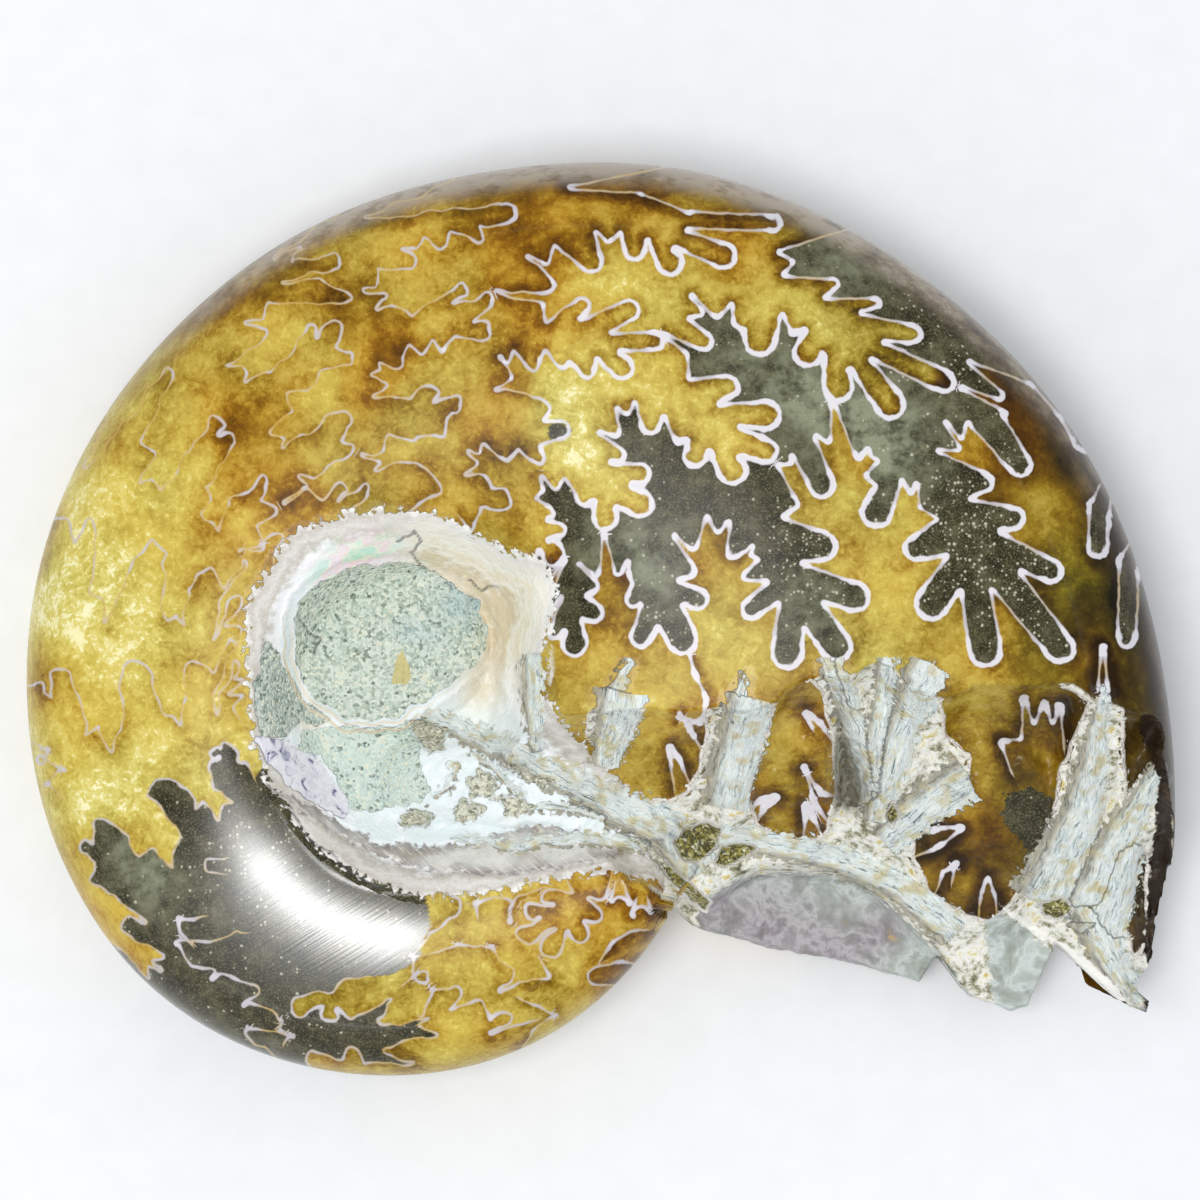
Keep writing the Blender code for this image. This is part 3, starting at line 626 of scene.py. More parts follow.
def disc_faces(rings):
    """Triangles of a disc whose ring number n has 6 n corners, centre first."""
    faces = []
    first = 0
    for ring in range(1, rings + 1):
        start, before = first + (1 if ring == 1 else 6 * (ring - 1)), max(1, 6 * (ring - 1))
        count = 6 * ring
        step = np.arange(count)
        sector, place = step // ring, step % ring
        inner = first + (sector * (ring - 1) + place) % before
        inner_next = first + (sector * (ring - 1) + place + 1) % before
        outer = start + step
        outer_next = start + (step + 1) % count
        faces.append(np.stack([inner, outer, outer_next], 1))
        wide = place < ring - 1
        faces.append(np.stack([inner, outer_next, inner_next], 1)[wide])
        first = start
    return np.concatenate(faces)


class Rim:
    """The outline seen from above, as one place for each direction from the skin's centre."""

    def __init__(self, count, solid):
        turn = np.arange(count) * 2 * pi / count
        self.way = np.stack([np.cos(turn), np.sin(turn)], 1)
        reach = np.full(count, RIM_SEARCH_START)
        going = np.ones(count, bool)
        step = RIM_SEARCH_STEP
        while going.any():
            place = np.array(SKIN_CENTRE) + self.way * (reach + step)[:, None]
            going &= in_plan(place[:, 0], place[:, 1])
            reach[going] += step
        for _ in range(RIM_HALVINGS):
            step /= 2
            place = np.array(SKIN_CENTRE) + self.way * (reach + step)[:, None]
            reach[in_plan(place[:, 0], place[:, 1])] += step
        self.place = np.array(SKIN_CENTRE) + self.way * reach[:, None]
        coil = Coil(*self.place.T)
        self.round = (np.abs(coil.radius - coil.venter) < 0.1) & (coil.angle < INNER_END)
        self.angle = coil.angle
        inward = self.place - self.way * WALL_INSET
        self.wall_top = solid.heights(*inward.T, 1)
        self.wall_bottom = solid.heights(*inward.T, -1)
        self.find_cut(solid)

    def find_cut(self, solid):
        """Where the break has taken the upper flank, the rim's bend starts lower: from its cut edge."""
        self.start = np.full(len(self.way), RIM_BAND_START)
        for turn in range(DEEPEST_CUT, int(RIM_BAND_START), -CUT_STEP):
            bent, level = bend_over(self.place, self.angle, np.full(len(self.way), float(turn)))
            leeway = LEEWAY if turn > WIDEST_BEND else CUT_LEEWAY + RIM_LEEWAY * sin(radians(turn)) ** 3
            cut = self.round & (solid.heights(*bent.T, 1) < level - leeway)
            self.start[cut] = np.maximum(self.start[cut], turn + 2.0)
        self.seam = np.maximum(RIM_BAND_END, self.start + 4.0)

    def at(self, index, turn):
        """Places on the rim at fractions of the way round it, bent over by an angle in degrees."""
        count = len(self.way)
        low = np.floor(index).astype(int) % count
        high, part = (low + 1) % count, index - np.floor(index)
        near = np.where(part < 0.5, low, high)
        both = self.round[low] & self.round[high]
        angle, start, seam = (
            np.where(both, each[low] * (1 - part) + each[high] * part, each[near])
            for each in (self.angle, self.start, self.seam)
        )
        place = self.place[low] * (1 - part)[:, None] + self.place[high] * part[:, None]
        if turn <= RIM_BAND_END:
            bend = start + (seam - start) * (turn - RIM_BAND_START) / (RIM_BAND_END - RIM_BAND_START)
        else:
            span = UNDERSIDE_BAND_END - RIM_BAND_END
            bend = seam + (UNDERSIDE_BAND_END - seam) * (turn - RIM_BAND_END) / span
        bent, bent_level = bend_over(place, angle, bend)
        down = np.clip((turn - RIM_BAND_START) / (UNDERSIDE_BAND_END - RIM_BAND_START), 0, 1)
        top = self.wall_top[near]
        wall_level = top + (self.wall_bottom[near] - top) * down
        lumps = roughness(np.column_stack([place, wall_level]), WALL_LUMPS, 5.0)
        lumps = lumps * min(1.0, 4 * down, 4 * (1 - down))
        inset = WALL_INSET * max(0.0, 1 - 6 * down) + WALL_RELIEF * (1 + lumps)
        wall = place - self.way[near] * inset[:, None]
        here = self.round[near]
        flat = np.where(here[:, None], bent, wall)
        return np.column_stack([flat, np.where(here, bent_level, wall_level)]), here

    def evened(self, index, turn):
        """The same places with the outline's steps evened out, so that no triangle is a sliver."""
        count = len(self.way)
        edge, _ = self.at(np.arange(count, dtype=float), turn)
        reach = np.hypot(*(edge[:, :2] - SKIN_CENTRE).T)
        shares = np.exp(-((np.arange(-3 * EVENED_OVER, 3 * EVENED_OVER + 1) / EVENED_OVER) ** 2))
        wrapped = np.concatenate([reach[-3 * EVENED_OVER :], reach, reach[: 3 * EVENED_OVER]])
        reach = np.convolve(wrapped, shares / shares.sum(), mode="valid")
        bearing = index * 2 * pi / count
        reach = np.interp(index, np.arange(count + 1), [*reach, reach[0]])
        way = np.stack([np.cos(bearing), np.sin(bearing)], 1)
        return np.column_stack([np.array(SKIN_CENTRE) + way * reach[:, None], np.zeros(len(index))])


def bend_over(place, angle, turn):
    """Places on the venter drawn in over the rounded rim by angles in degrees, with their heights."""
    coil = Coil(*place.T, angle=angle)
    radius = coil.flat + coil.rounding * np.sin(np.radians(turn))
    way = np.stack([np.cos(np.radians(angle)), np.sin(np.radians(angle))], 1)
    bent = np.array(COIL_AXIS) + way * radius[:, None]
    coil = Coil(*bent.T, angle=angle)
    share = falling_share((coil.flat - coil.rim) / (coil.venter - coil.rim))
    level = coil.middle + coil.half * share * np.cos(np.radians(turn))
    return bent, np.maximum(TABLE, level)


def string_round(pegs):
    """The line of a string pulled round pegs. It passes ahead of round ends and behind sharp tips."""
    centres = np.array([(peg[0], -peg[1]) for peg in pegs], float)
    radii = np.array([peg[2] if len(peg) == 3 else TIP_RADIUS for peg in pegs])
    signs = np.array([-1.0 if len(peg) == 3 else 1.0 for peg in pegs]) * radii
    signs[0] = signs[-1] = 0.0
    spans = np.diff(centres, axis=0)
    lengths = np.hypot(*spans.T)
    units = spans / lengths[:, None]
    lean = np.clip(np.diff(signs) / lengths, -0.97, 0.97)
    normals = np.stack([-units[:, 1], units[:, 0]], 1) * np.sqrt(1 - lean**2)[:, None] + units * lean[:, None]
    line = [centres[0]]
    for i in range(1, len(pegs) - 1):
        arrive, leave = -signs[i] * normals[i - 1], -signs[i] * normals[i]
        start, end = np.arctan2(arrive[1], arrive[0]), np.arctan2(leave[1], leave[0])
        sweep = (end - start) % (2 * pi) if signs[i] > 0 else -((start - end) % (2 * pi))
        if abs(sweep) > 1.75 * pi:
            sweep = 0.0
        steps = max(1, ceil(abs(sweep) / 0.5))
        for step in range(steps + 1):
            turn = start + sweep * step / steps
            line.append(centres[i] + abs(signs[i]) * np.array([cos(turn), sin(turn)]))
    line.append(centres[-1])
    return np.array(line)


def waver(line, spacing=6.0, swing=WAVER_SWING, size=WAVER_SIZE):
    """The line with points at an even spacing and a slight waver, and frills on the inner whorl."""
    steps = np.hypot(*np.diff(line, axis=0).T)
    keep = np.concatenate([[True], steps > 1e-6])
    line = line[keep]
    at = np.concatenate([[0], np.cumsum(np.hypot(*np.diff(line, axis=0).T))])
    more = np.unique(np.concatenate([at, np.arange(0, at[-1], spacing)]))
    full = np.stack([np.interp(more, at, line[:, 0]), np.interp(more, at, line[:, 1])], 1)
    frilled = FRILL_SWING * smooth(FRILLS_START, FRILLS_FULL, full[:, :1])
    return full + swing * drift(full, size, 1.5) + frilled * drift(full, FRILL_SIZE, 3.5)


def drift(places, size, seed):
    """A shift in x and y at each place, from -1 to 1, with waves of a size."""
    heights = (seed, seed + 6.0)
    return np.array([
        [noise.noise(Vector((x / size, y / size, z))) for z in heights] for x, y in places.tolist()
    ])


class Sheet:
    """A mesh's points as the drawing sees them, ready to be asked how far each is from a line."""

    def __init__(self, points):
        across, down = to_frame(points)
        self.order = np.argsort(-down, kind="stable")
        self.x, self.y = across[self.order], -down[self.order]
        self.count = len(points)

    def back(self, values):
        """Values in the order of the mesh's points."""
        out = np.empty_like(values)
        out[self.order] = values
        return out

    def seek_line(self, line, best, side, travel=None, start_travel=0.0):
        """Lowers best to each point's distance to the line. Notes its side, and how far along it is."""
        spans = np.diff(line, axis=0)
        normals = np.stack([-spans[:, 1], spans[:, 0]], 1) / np.hypot(*spans.T)[:, None]
        corners = np.concatenate([normals[:1], normals[:-1] + normals[1:], normals[-1:]])
        for i, (start, span) in enumerate(zip(line[:-1], spans)):
            end = start + span
            low = np.searchsorted(self.y, min(start[1], end[1]) - LINE_REACH)
            high = np.searchsorted(self.y, max(start[1], end[1]) + LINE_REACH)
            x, y = self.x[low:high], self.y[low:high]
            left, right = min(start[0], end[0]) - LINE_REACH, max(start[0], end[0]) + LINE_REACH
            near = np.flatnonzero((x > left) & (x < right))
            dx, dy = x[near] - start[0], y[near] - start[1]
            part = np.clip((dx * span[0] + dy * span[1]) / (span @ span), 0, 1)
            dx, dy = dx - part * span[0], dy - part * span[1]
            away = np.hypot(dx, dy)
            closer = away < best[low + near]
            near, part, dx, dy, away = (each[closer] for each in (near, part, dx, dy, away))
            normal = np.where((part >= 1)[:, None], corners[i + 1], normals[i])
            normal = np.where((part <= 0)[:, None], corners[i], normal)
            best[low + near] = away
            side[low + near] = np.where(dx * normal[:, 0] + dy * normal[:, 1] < 0, -1.0, 1.0)
            if travel is not None:
                travel[low + near] = start_travel + part * np.hypot(*span)
            start_travel += 0.0 if travel is None else np.hypot(*span)

    def inside(self, outline):
        """Which points are inside a drawn outline."""
        found = np.zeros(self.count, bool)
        corners = np.asarray(outline, float)
        for (x0, y0), (x1, y1) in zip(corners, np.roll(corners, -1, axis=0)):
            if y0 == y1:
                continue
            low, high = np.searchsorted(self.y, sorted((y0, y1)))
            found[low:high] ^= self.x[low:high] < x0 + (self.y[low:high] - y0) * (x1 - x0) / (y1 - y0)
        return found

    def zone(self, outline, wobble=1.5, size=6.0):
        """Distance in to each point from a drawn outline, in millimetres, negative outside it."""
        ring = waver(np.array([(x, -y) for x, y in (*outline, outline[0])], float), 4.0, wobble, size)
        best, side = np.full(self.count, LINE_REACH), np.ones(self.count)
        self.seek_line(ring, best, side)
        return self.back(np.where(self.inside(ring[:-1]), best, -best) / FRAME_SCALE)

    def glow(self, spots):
        """The sum of soft round spots, each a place, a reach and a strength."""
        total = np.zeros(self.count)
        for x, y, reach, strength in spots:
            low, high = np.searchsorted(self.y, (-y - 3 * reach, -y + 3 * reach))
            away = (self.x[low:high] - x) ** 2 + (self.y[low:high] + y) ** 2
            total[low:high] += strength * np.exp(-away / (2 * reach**2))
        return self.back(total)

    def blend(self, tones):
        """Lightness and warmth, each the mean of the drawn tones round a point."""
        weights, light, warm = (np.full(self.count, start) for start in (1e-9, 5e-10, 5e-10))
        for x, y, reach, tone, warmth in tones:
            weight = np.exp(-(((self.x - x) ** 2 + (self.y + y) ** 2) / (1.2 * reach**2)))
            weights += weight
            light += weight * tone
            warm += weight * warmth
        return self.back(light / weights), self.back(warm / weights)


class Skin:
    """One side's surface: points in millimetres, triangles, normals and what is drawn on it."""

    def __init__(self, side, rings, band_rings, band_start, band_end, rim, solid):
        ring = np.concatenate([[0], np.repeat(np.arange(1, rings + 1), 6 * np.arange(1, rings + 1))])
        first = 1 + 3 * ring * (ring - 1)
        turn = np.where(ring > 0, (np.arange(len(ring)) - first) / np.maximum(1, 6 * ring), 0.0)
        index = turn * len(rim.way)
        self.side, self.solid = side, solid
        self.faces = disc_faces(rings)
        self.points = np.zeros((len(ring), 3))
        self.round = np.zeros(len(ring), bool)
        inner = rings - band_rings
        edge, edge_round = rim.at(index, band_start)
        flat = ring <= inner
        middle = (*SKIN_CENTRE, 0.0)
        share = (ring[flat] / inner)[:, None]
        even = rim.evened(index[flat], band_start)
        self.points[flat] = middle + (even - middle) * share + (edge[flat] - even) * share**EDGE_HOLD
        self.round[flat] = edge_round[flat]
        for number in range(inner + 1, rings + 1):
            here = ring == number
            bent = band_start + (band_end - band_start) * (number - inner) / band_rings
            self.points[here], self.round[here] = rim.at(index[here], bent)
        self.band = ~flat
        self.ring = ring
        self.raise_points(flat)

    def raise_points(self, flat):
        """Heights: the coil's own curve where the model has it, and the model's broken surface elsewhere."""
        x, y = self.points[:, 0], self.points[:, 1]
        coil = Coil(x, y)
        model = self.solid.heights(x, y, self.side)
        smooth_level = coil.level(self.side)
        missed = np.isnan(model)
        model[missed] = np.where(flat, smooth_level, self.points[:, 2])[missed]
        steepness = np.clip((coil.radius - coil.flat) / coil.rounding, 0, 1)
        leeway = LEEWAY + RIM_LEEWAY * steepness**3
        self.broken = smooth(BROKEN_FROM, BROKEN_FULLY, np.abs(model - smooth_level) / leeway)
        outside = coil.radius > coil.venter + 0.05
        self.broken[outside] = 1.0
        level = smooth_level * (1 - self.broken) + model * self.broken
        self.points[flat, 2] = level[flat]
        self.broken[self.band] = np.where(self.round, 0.0, 1.0)[self.band]
        self.relax(self.broken > 0.02, SOFTENING if self.side > 0 else UNDERSIDE_SOFTENING)

    def relax(self, chosen, rounds):
        """Softens the model's facets by drawing each chosen point's height towards its neighbours'."""
        ends = self.faces[:, [0, 1, 1, 2, 2, 0]].reshape(-1, 2)
        ends = np.concatenate([ends, ends[:, ::-1]])
        ends = ends[chosen[ends[:, 0]]]
        count = np.maximum(1, np.bincount(ends[:, 0], minlength=len(chosen)))
        chosen = chosen & ~self.band
        for _ in range(rounds):
            total = np.bincount(ends[:, 0], weights=self.points[ends[:, 1], 2], minlength=len(chosen))
            self.points[chosen, 2] = (total / count)[chosen]

    def find_normals(self):
        """The way that the surface faces at each point, outwards."""
        corners = self.points[self.faces]
        across = np.cross(corners[:, 1] - corners[:, 0], corners[:, 2] - corners[:, 0])
        self.normals = np.stack([
            np.bincount(self.faces.ravel(), weights=np.repeat(across[:, axis], 3), minlength=len(self.points))
            for axis in range(3)
        ], 1)
        self.normals /= np.maximum(1e-12, np.linalg.norm(self.normals, axis=1))[:, None]
        self.normals *= self.side


def draw_lines(sheet, thin_line, wide_line):
    """The sutures: distance with its side, plain distance, and half the white line, in millimetres."""
    best, side = np.full(sheet.count, LINE_REACH), np.ones(sheet.count)
    whites = []
    for number, pegs in enumerate((*SUTURES, *SHORT_LINES)):
        sheet.seek_line(waver(string_round(pegs)), best, side)
        tooth = TOOTH_WHITE if number >= len(SUTURES) else TIP_WHITE
        tips = [(*peg, TIP_WHITE_REACH, tooth) for peg in pegs[1:-1] if len(peg) == 2]
        ends = [(peg[0], peg[1], peg[2], END_WHITE) for peg in pegs[1:-1] if len(peg) == 3]
        whites += tips + ends
    wide = sheet.back(smooth(*WIDE_ACROSS, sheet.x) * smooth(*WIDE_DOWN, -sheet.y))
    width = (thin_line + (wide_line - thin_line) * wide) * FRAME_SCALE / 2
    width = width + np.minimum(sheet.glow(whites), MOST_WHITE) * (THIN_WHITE + (1 - THIN_WHITE) * wide)
    return sheet.back(best * side) / FRAME_SCALE, sheet.back(best) / FRAME_SCALE, width / FRAME_SCALE


def line_of(pegs):
    """A suture's line as places in the drawing, with y downwards."""
    return [(x, -y) for x, y in waver(string_round(pegs))]


def draw_mud(sheet):
    """Where mud filled the chambers instead of crystal, from 0 to 1."""
    chamber = [*line_of(SECOND_SUTURE), *line_of(FRONT_SUTURE)[::-1], *MUD_RIM]
    inner = [*line_of(MUD_SUTURE), *MUD_EDGE, *line_of(BOTTOM_SUTURE)[::-1], *MUD_VENTER]
    filled = sheet.inside([(x, -y) for x, y in chamber]) | sheet.inside([(x, -y) for x, y in inner])
    for outline in MUD_SPOTS:
        filled |= sheet.inside([(x, -y) for x, y in outline])
    return sheet.back(filled.astype(float))


def draw_fibres(sheet):
    """Runs of fibre along the septa: how far inside, places across and along, and share of the width."""
    inside, across, travel, lean = (np.full(sheet.count, value) for value in (-LINE_REACH, 0.0, 0.0, 0.0))
    for number, (wide, narrow, *places) in enumerate(FIBRE_RUNS):
        line = waver(np.array([(x, -y) for x, y in places], float), 8.0, 2.5, 30.0)
        best, side, run = np.full(sheet.count, LINE_REACH), np.ones(sheet.count), np.zeros(sheet.count)
        sheet.seek_line(line, best, side, run)
        length = np.hypot(*np.diff(line, axis=0).T).sum()
        beyond = (run <= 0) | (run >= length - 0.001)
        deep = wide + (narrow - wide) * run / length - best
        deep = np.where(beyond, -best, np.minimum(deep, 4.0 + np.minimum(run, length - run)))
        deeper = deep > inside
        lean[deeper] = (best * side / (wide + (narrow - wide) * run / length))[deeper]
        inside[deeper] = deep[deeper]
        across[deeper] = (best * side / FRAME_SCALE + 20.0 * number)[deeper]
        travel[deeper] = run[deeper] / FRAME_SCALE
    return sheet.back(inside) / FRAME_SCALE, sheet.back(across), sheet.back(travel), sheet.back(lean)


def draw(skin, thin_line, wide_line):
    """Everything that is drawn on a skin, by name, one number for each of its points."""
    sheet = Sheet(skin.points)
    fields = {"broken": skin.broken}
    fields["seam"], fields["away"], fields["line"] = draw_lines(sheet, thin_line, wide_line)
    fields["mud"] = draw_mud(sheet)
    light, warm = sheet.blend(CRYSTAL_TONES)
    coil = Coil(skin.points[:, 0], skin.points[:, 1])
    outward = coil.radius - coil.venter
    venter = smooth(*VENTER_TONE_FROM, outward) * smooth(*VENTER_TONE_TURN, coil.angle)
    light = TONE_FLOOR + TONE_GAIN * light
    fields["light"] = light + (RIM_TONE[0] - light) * venter
    fields["warm"] = warm + (RIM_TONE[1] - warm) * venter
    fields["grainy"] = sheet.glow(GRAINY_MUD)
    fields["haze"] = sheet.glow(HAZY_MUD)
    fields["fibre"], fields["across"], fields["travel"], fields["lean"] = draw_fibres(sheet)
    fields["scored"] = sheet.glow(SCORED)
    fields["rind"] = smooth(*RIND_FROM, outward) * smooth(*RIND_TURN, coil.angle)
    if skin.side > 0:
        chambers = [sheet.zone(outline, 3.0, 12.0) for outline in CHAMBERS]
        fields["chamber"] = np.max(chambers, axis=0)
        fields["pocket"] = np.max([sheet.zone(outline, 2.0, 5.0) for outline in POCKETS], axis=0)
        fields["tan"], fields["blue"] = sheet.glow(TAN_SHELL), sheet.glow(BLUE_SAND)
        fields["pink"] = sheet.glow(PINK_SHELL)
        best, side = np.full(sheet.count, LINE_REACH), np.ones(sheet.count)
        for crack in CRACKS:
            sheet.seek_line(waver(np.array([(x, -y) for x, y in crack], float), 4.0, 3.0, 9.0), best, side)
        fields["crack"] = sheet.back(best) / FRAME_SCALE
        # Where shade is painted on the ledge, as lilac grey.
        fields["lilac"] = sheet.glow(LEDGE_SHADE)
        for name, outline in ZONES.items():
            fields[name] = sheet.zone(outline)
    return fields


def rugged(points, layers):
    """Layers of noise added up, each a size of lump, a height and a seed."""
    return sum(height * roughness(points, size, seed) for size, height, seed in layers)


def roughen(skin, fields, relief):
    """Breaks up the surface where it isn't polished: splinters of fibre, crumbled shell, grains of sand."""
    points = skin.points
    broken = np.flatnonzero(skin.broken > 0.05)
    lift = np.zeros(len(points))
    lift[broken] = rugged(points[broken], LUMPS) * skin.broken[broken]
    if skin.side > 0:
        near_fibre = fields["fibre"] > -0.2
        fibre = np.flatnonzero(near_fibre & ((skin.broken > 0.05) | (fields["edge"] > 0)))
        inside = smooth(-0.2, 1.2, fields["fibre"][fibre])
        across, travel = fields["across"][fibre] / STRAND_WIDTH, fields["travel"][fibre] / STRAND_LENGTH
        strands = np.column_stack([across, travel, np.zeros(len(fibre))])
        lift[fibre] = lift[fibre] * 0.4 + inside * relief * (1.0 + rugged(strands, SPLINTERS))
        lift[fibre] -= 0.8 * relief * smooth(-0.35, -0.85, fields["lean"][fibre]) * inside
        lift -= 1.5 * relief * smooth(-0.2, 1.1, fields["hollow"])
        lift -= POCKET_DEPTH * smooth(-0.1, 0.3, fields["pocket"])
        lift -= CRACK_DEPTH * smooth(0.2, 0.0, fields["crack"])
        brim = smooth(0.5, 0.0, np.abs(fields["chamber"]))
        lift += CHAMBER_LIP * brim * skin.broken * (fields["fibre"] < 0)
        grains = np.flatnonzero((fields["sand"] > 0) | (fields["sliver"] > 0) | (fields["green"] > 0))
        size = np.where(fields["green"][grains] > 0, MUD_RELIEF, SAND_RELIEF)
        lift[grains] += size * roughness(points[grains], SAND_LUMPS, 3.0)
        inner_edge = np.minimum(np.abs(fields["sand"]), np.abs(fields["sand"] + SHELL_THICKNESS))
        brim = np.exp(-((inner_edge / 0.16) ** 2))
        lift += INNER_LIP * brim * (fields["edge"] > 0) * (fields["fibre"] < 0)
        lift -= CRESCENT_GROOVE * smooth(0.3, 0.0, np.abs(fields["crescent"])) * (fields["edge"] > -0.3)
    points[:, 2] += skin.side * lift * ~skin.band


@lru_cache(maxsize=1)
def skins(thin_line, wide_line, relief):
    """Both sides of the fossil, with what is drawn on them. They share the seam under the rim."""
    share = 1.0
    solid = Solid()
    under_rings = round(SKIN_RINGS * share / 2)
    rings = 2 * under_rings
    rim = Rim(6 * rings, solid)
    upper = Skin(1, rings, round(RIM_BAND_RINGS * share), RIM_BAND_START, RIM_BAND_END, rim, solid)
    lower_bands = round(UNDERSIDE_BAND_RINGS * share)
    lower = Skin(-1, under_rings, lower_bands, UNDERSIDE_BAND_END, RIM_BAND_END, rim, solid)
    made = []
    for skin in (upper, lower):
        fields = draw(skin, thin_line, wide_line)
        roughen(skin, fields, relief)
        skin.find_normals()
        made.append((skin, fields))
    seam, under_seam = upper.ring == rings, lower.ring == under_rings
    shared = upper.normals[seam][::2] + lower.normals[under_seam]
    shared /= np.linalg.norm(shared, axis=1)[:, None]
    lower.normals[under_seam] = shared
    between = shared + np.roll(shared, -1, axis=0)
    both = np.empty((2 * len(shared), 3))
    both[::2], both[1::2] = shared, between / np.linalg.norm(between, axis=1)[:, None]
    upper.normals[seam] = both
    return made


def made_skins(context):
    """Both skins at the sizes that are set in the panel. They are made once and shared by the pieces."""
    sizes = context.scene.ammonite_sizes
    return skins(*(round(value / MM, 4) for value in (sizes.thin_line, sizes.wide_line, sizes.splinters)))


def make_piece(name, skin, fields, chosen, material):
    """A mesh of the skin's chosen triangles, with what is drawn on them, riding on the fossil's body."""
    faces = skin.faces[chosen]
    used = np.zeros(len(skin.points), bool)
    used[faces] = True
    renumbered = np.cumsum(used) - 1
    faces = renumbered[faces] if skin.side > 0 else renumbered[faces][:, ::-1]
    mesh = bpy.data.meshes.new(name)
    mesh.from_pydata((skin.points[used] * MM).tolist(), [], faces.tolist())
    mesh.shade_smooth()
    mesh.normals_split_custom_set_from_vertices(skin.normals[used].tolist())
    for field, values in fields.items():
        layer = mesh.attributes.new(field, "FLOAT", "POINT")
        layer.data.foreach_set("value", values[used].astype(np.float32))
    mesh.materials.append(material)
    piece = bpy.data.objects.new(name, mesh)
    bpy.context.scene.collection.objects.link(piece)
    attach(piece, BODY)
    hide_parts(NODE)


def regions(skin, fields):
    """The pieces that the upper skin is parted into, as a number for each triangle."""
    middle = skin.points[skin.faces].mean(axis=1)
    corner = skin.faces[:, 0]
    offset = middle[:, :2] - SKIN_CENTRE
    bearing = np.degrees(np.arctan2(offset[:, 1], offset[:, 0])) % 360
    flank = np.searchsorted(FLANK_BEARINGS, bearing) % len(FLANK_BEARINGS)
    pit = (fields["edge"][corner] > -PART_MARGIN) & (middle[:, 0] < PIT_EAST)
    fibrous = (fields["fibre"][corner] > -PART_MARGIN) & (middle[:, 1] < FIBRES_SOUTH)
    snapped = ((skin.broken[corner] > 0.02) | fibrous) & (middle[:, 1] < BREAK_SOUTH)
    return np.where(pit, UMBILICUS, np.where(snapped & (middle[:, 0] > BREAK_WEST), BREAK, flank))


def linear(code):
    """A colour's hex code, as it looks on a screen, turned into light."""
    parts = [int(code[i : i + 2], 16) / 255 for i in (1, 3, 5)]
    return (*(p / 12.92 if p <= 0.04045 else ((p + 0.055) / 1.055) ** 2.4 for p in parts), 1.0)


def add(tree, kind, inputs=(), stops=(), **settings):
    """One node, with its settings and its colour stops, each a place and a hex code, grey level or colour.

    Inputs are in the node's own order, or by name. Each is a value, a node, a node with an output's name, or
    the name of what is drawn on the skin.
    """
    node = tree.nodes.new("ShaderNode" + kind)
    for name, value in settings.items():
        setattr(node, name, value)
    if stops:
        elements = node.color_ramp.elements
        while len(elements) < len(stops):
            elements.new(1.0)
        for element, (place, tone) in zip(elements, stops):
            element.position = place
            tone = (tone,) * 3 if isinstance(tone, float) else tone
            element.color = linear(tone) if isinstance(tone, str) else (*tone, 1.0)
    for key, value in inputs.items() if isinstance(inputs, dict) else enumerate(inputs):
        shown = [socket for socket in node.inputs if socket.enabled]
        socket = shown[key] if isinstance(key, int) else next(each for each in shown if each.name == key)
        if isinstance(value, str):
            value = (add(tree, "Attribute", attribute_name=value), "Fac")
        if isinstance(value, bpy.types.Node):
            tree.links.new(next(output for output in value.outputs if output.enabled), socket)
        elif isinstance(value, tuple) and isinstance(value[0], bpy.types.Node):
            tree.links.new(value[0].outputs[value[1]], socket)
        else:
            socket.default_value = value
    return node


def cover(tree, under, over, mask):
    """One finish laid over another where a mask is 1. With no height of its own it keeps the one under it."""
    colour = add(tree, "Mix", [mask, under[0], over[0]], data_type="RGBA")
    rough = add(tree, "Mix", [mask, under[1], over[1]])
    if over[2] is None:
        return colour, rough, under[2]
    height = add(tree, "Mix", [mask, under[2], over[2]])
    return colour, rough, height


def within(tree, field, soft, ragged):
    """A mask that is 1 where a drawn distance is above 0, with a soft or ragged edge, in millimetres."""
    rag = add(tree, "TexNoise", {"Vector": millimetres(tree), "Scale": 1 / RAG_SIZE, "Detail": 2.0})
    shift = add(tree, "MapRange", [rag, 0.3, 0.7, -ragged, ragged])
    moved = add(tree, "Math", [field, shift], operation="ADD")
    return add(tree, "MapRange", [moved, -soft, soft])


def outlined(tree, field, level, half):
    """A mask that is 1 where a drawn distance is within half a line's width of a level, in millimetres."""
    away = add(tree, "Math", [add(tree, "Math", [field, level], operation="SUBTRACT")], operation="ABSOLUTE")
    return add(tree, "MapRange", [away, half + 0.06, half - 0.06])


def millimetres(tree):
    """Places on the fossil in millimetres, which every pattern is scaled from."""
    return add(tree, "VectorMath", [(add(tree, "TexCoord"), "Object"), (1 / MM,) * 3], operation="MULTIPLY")


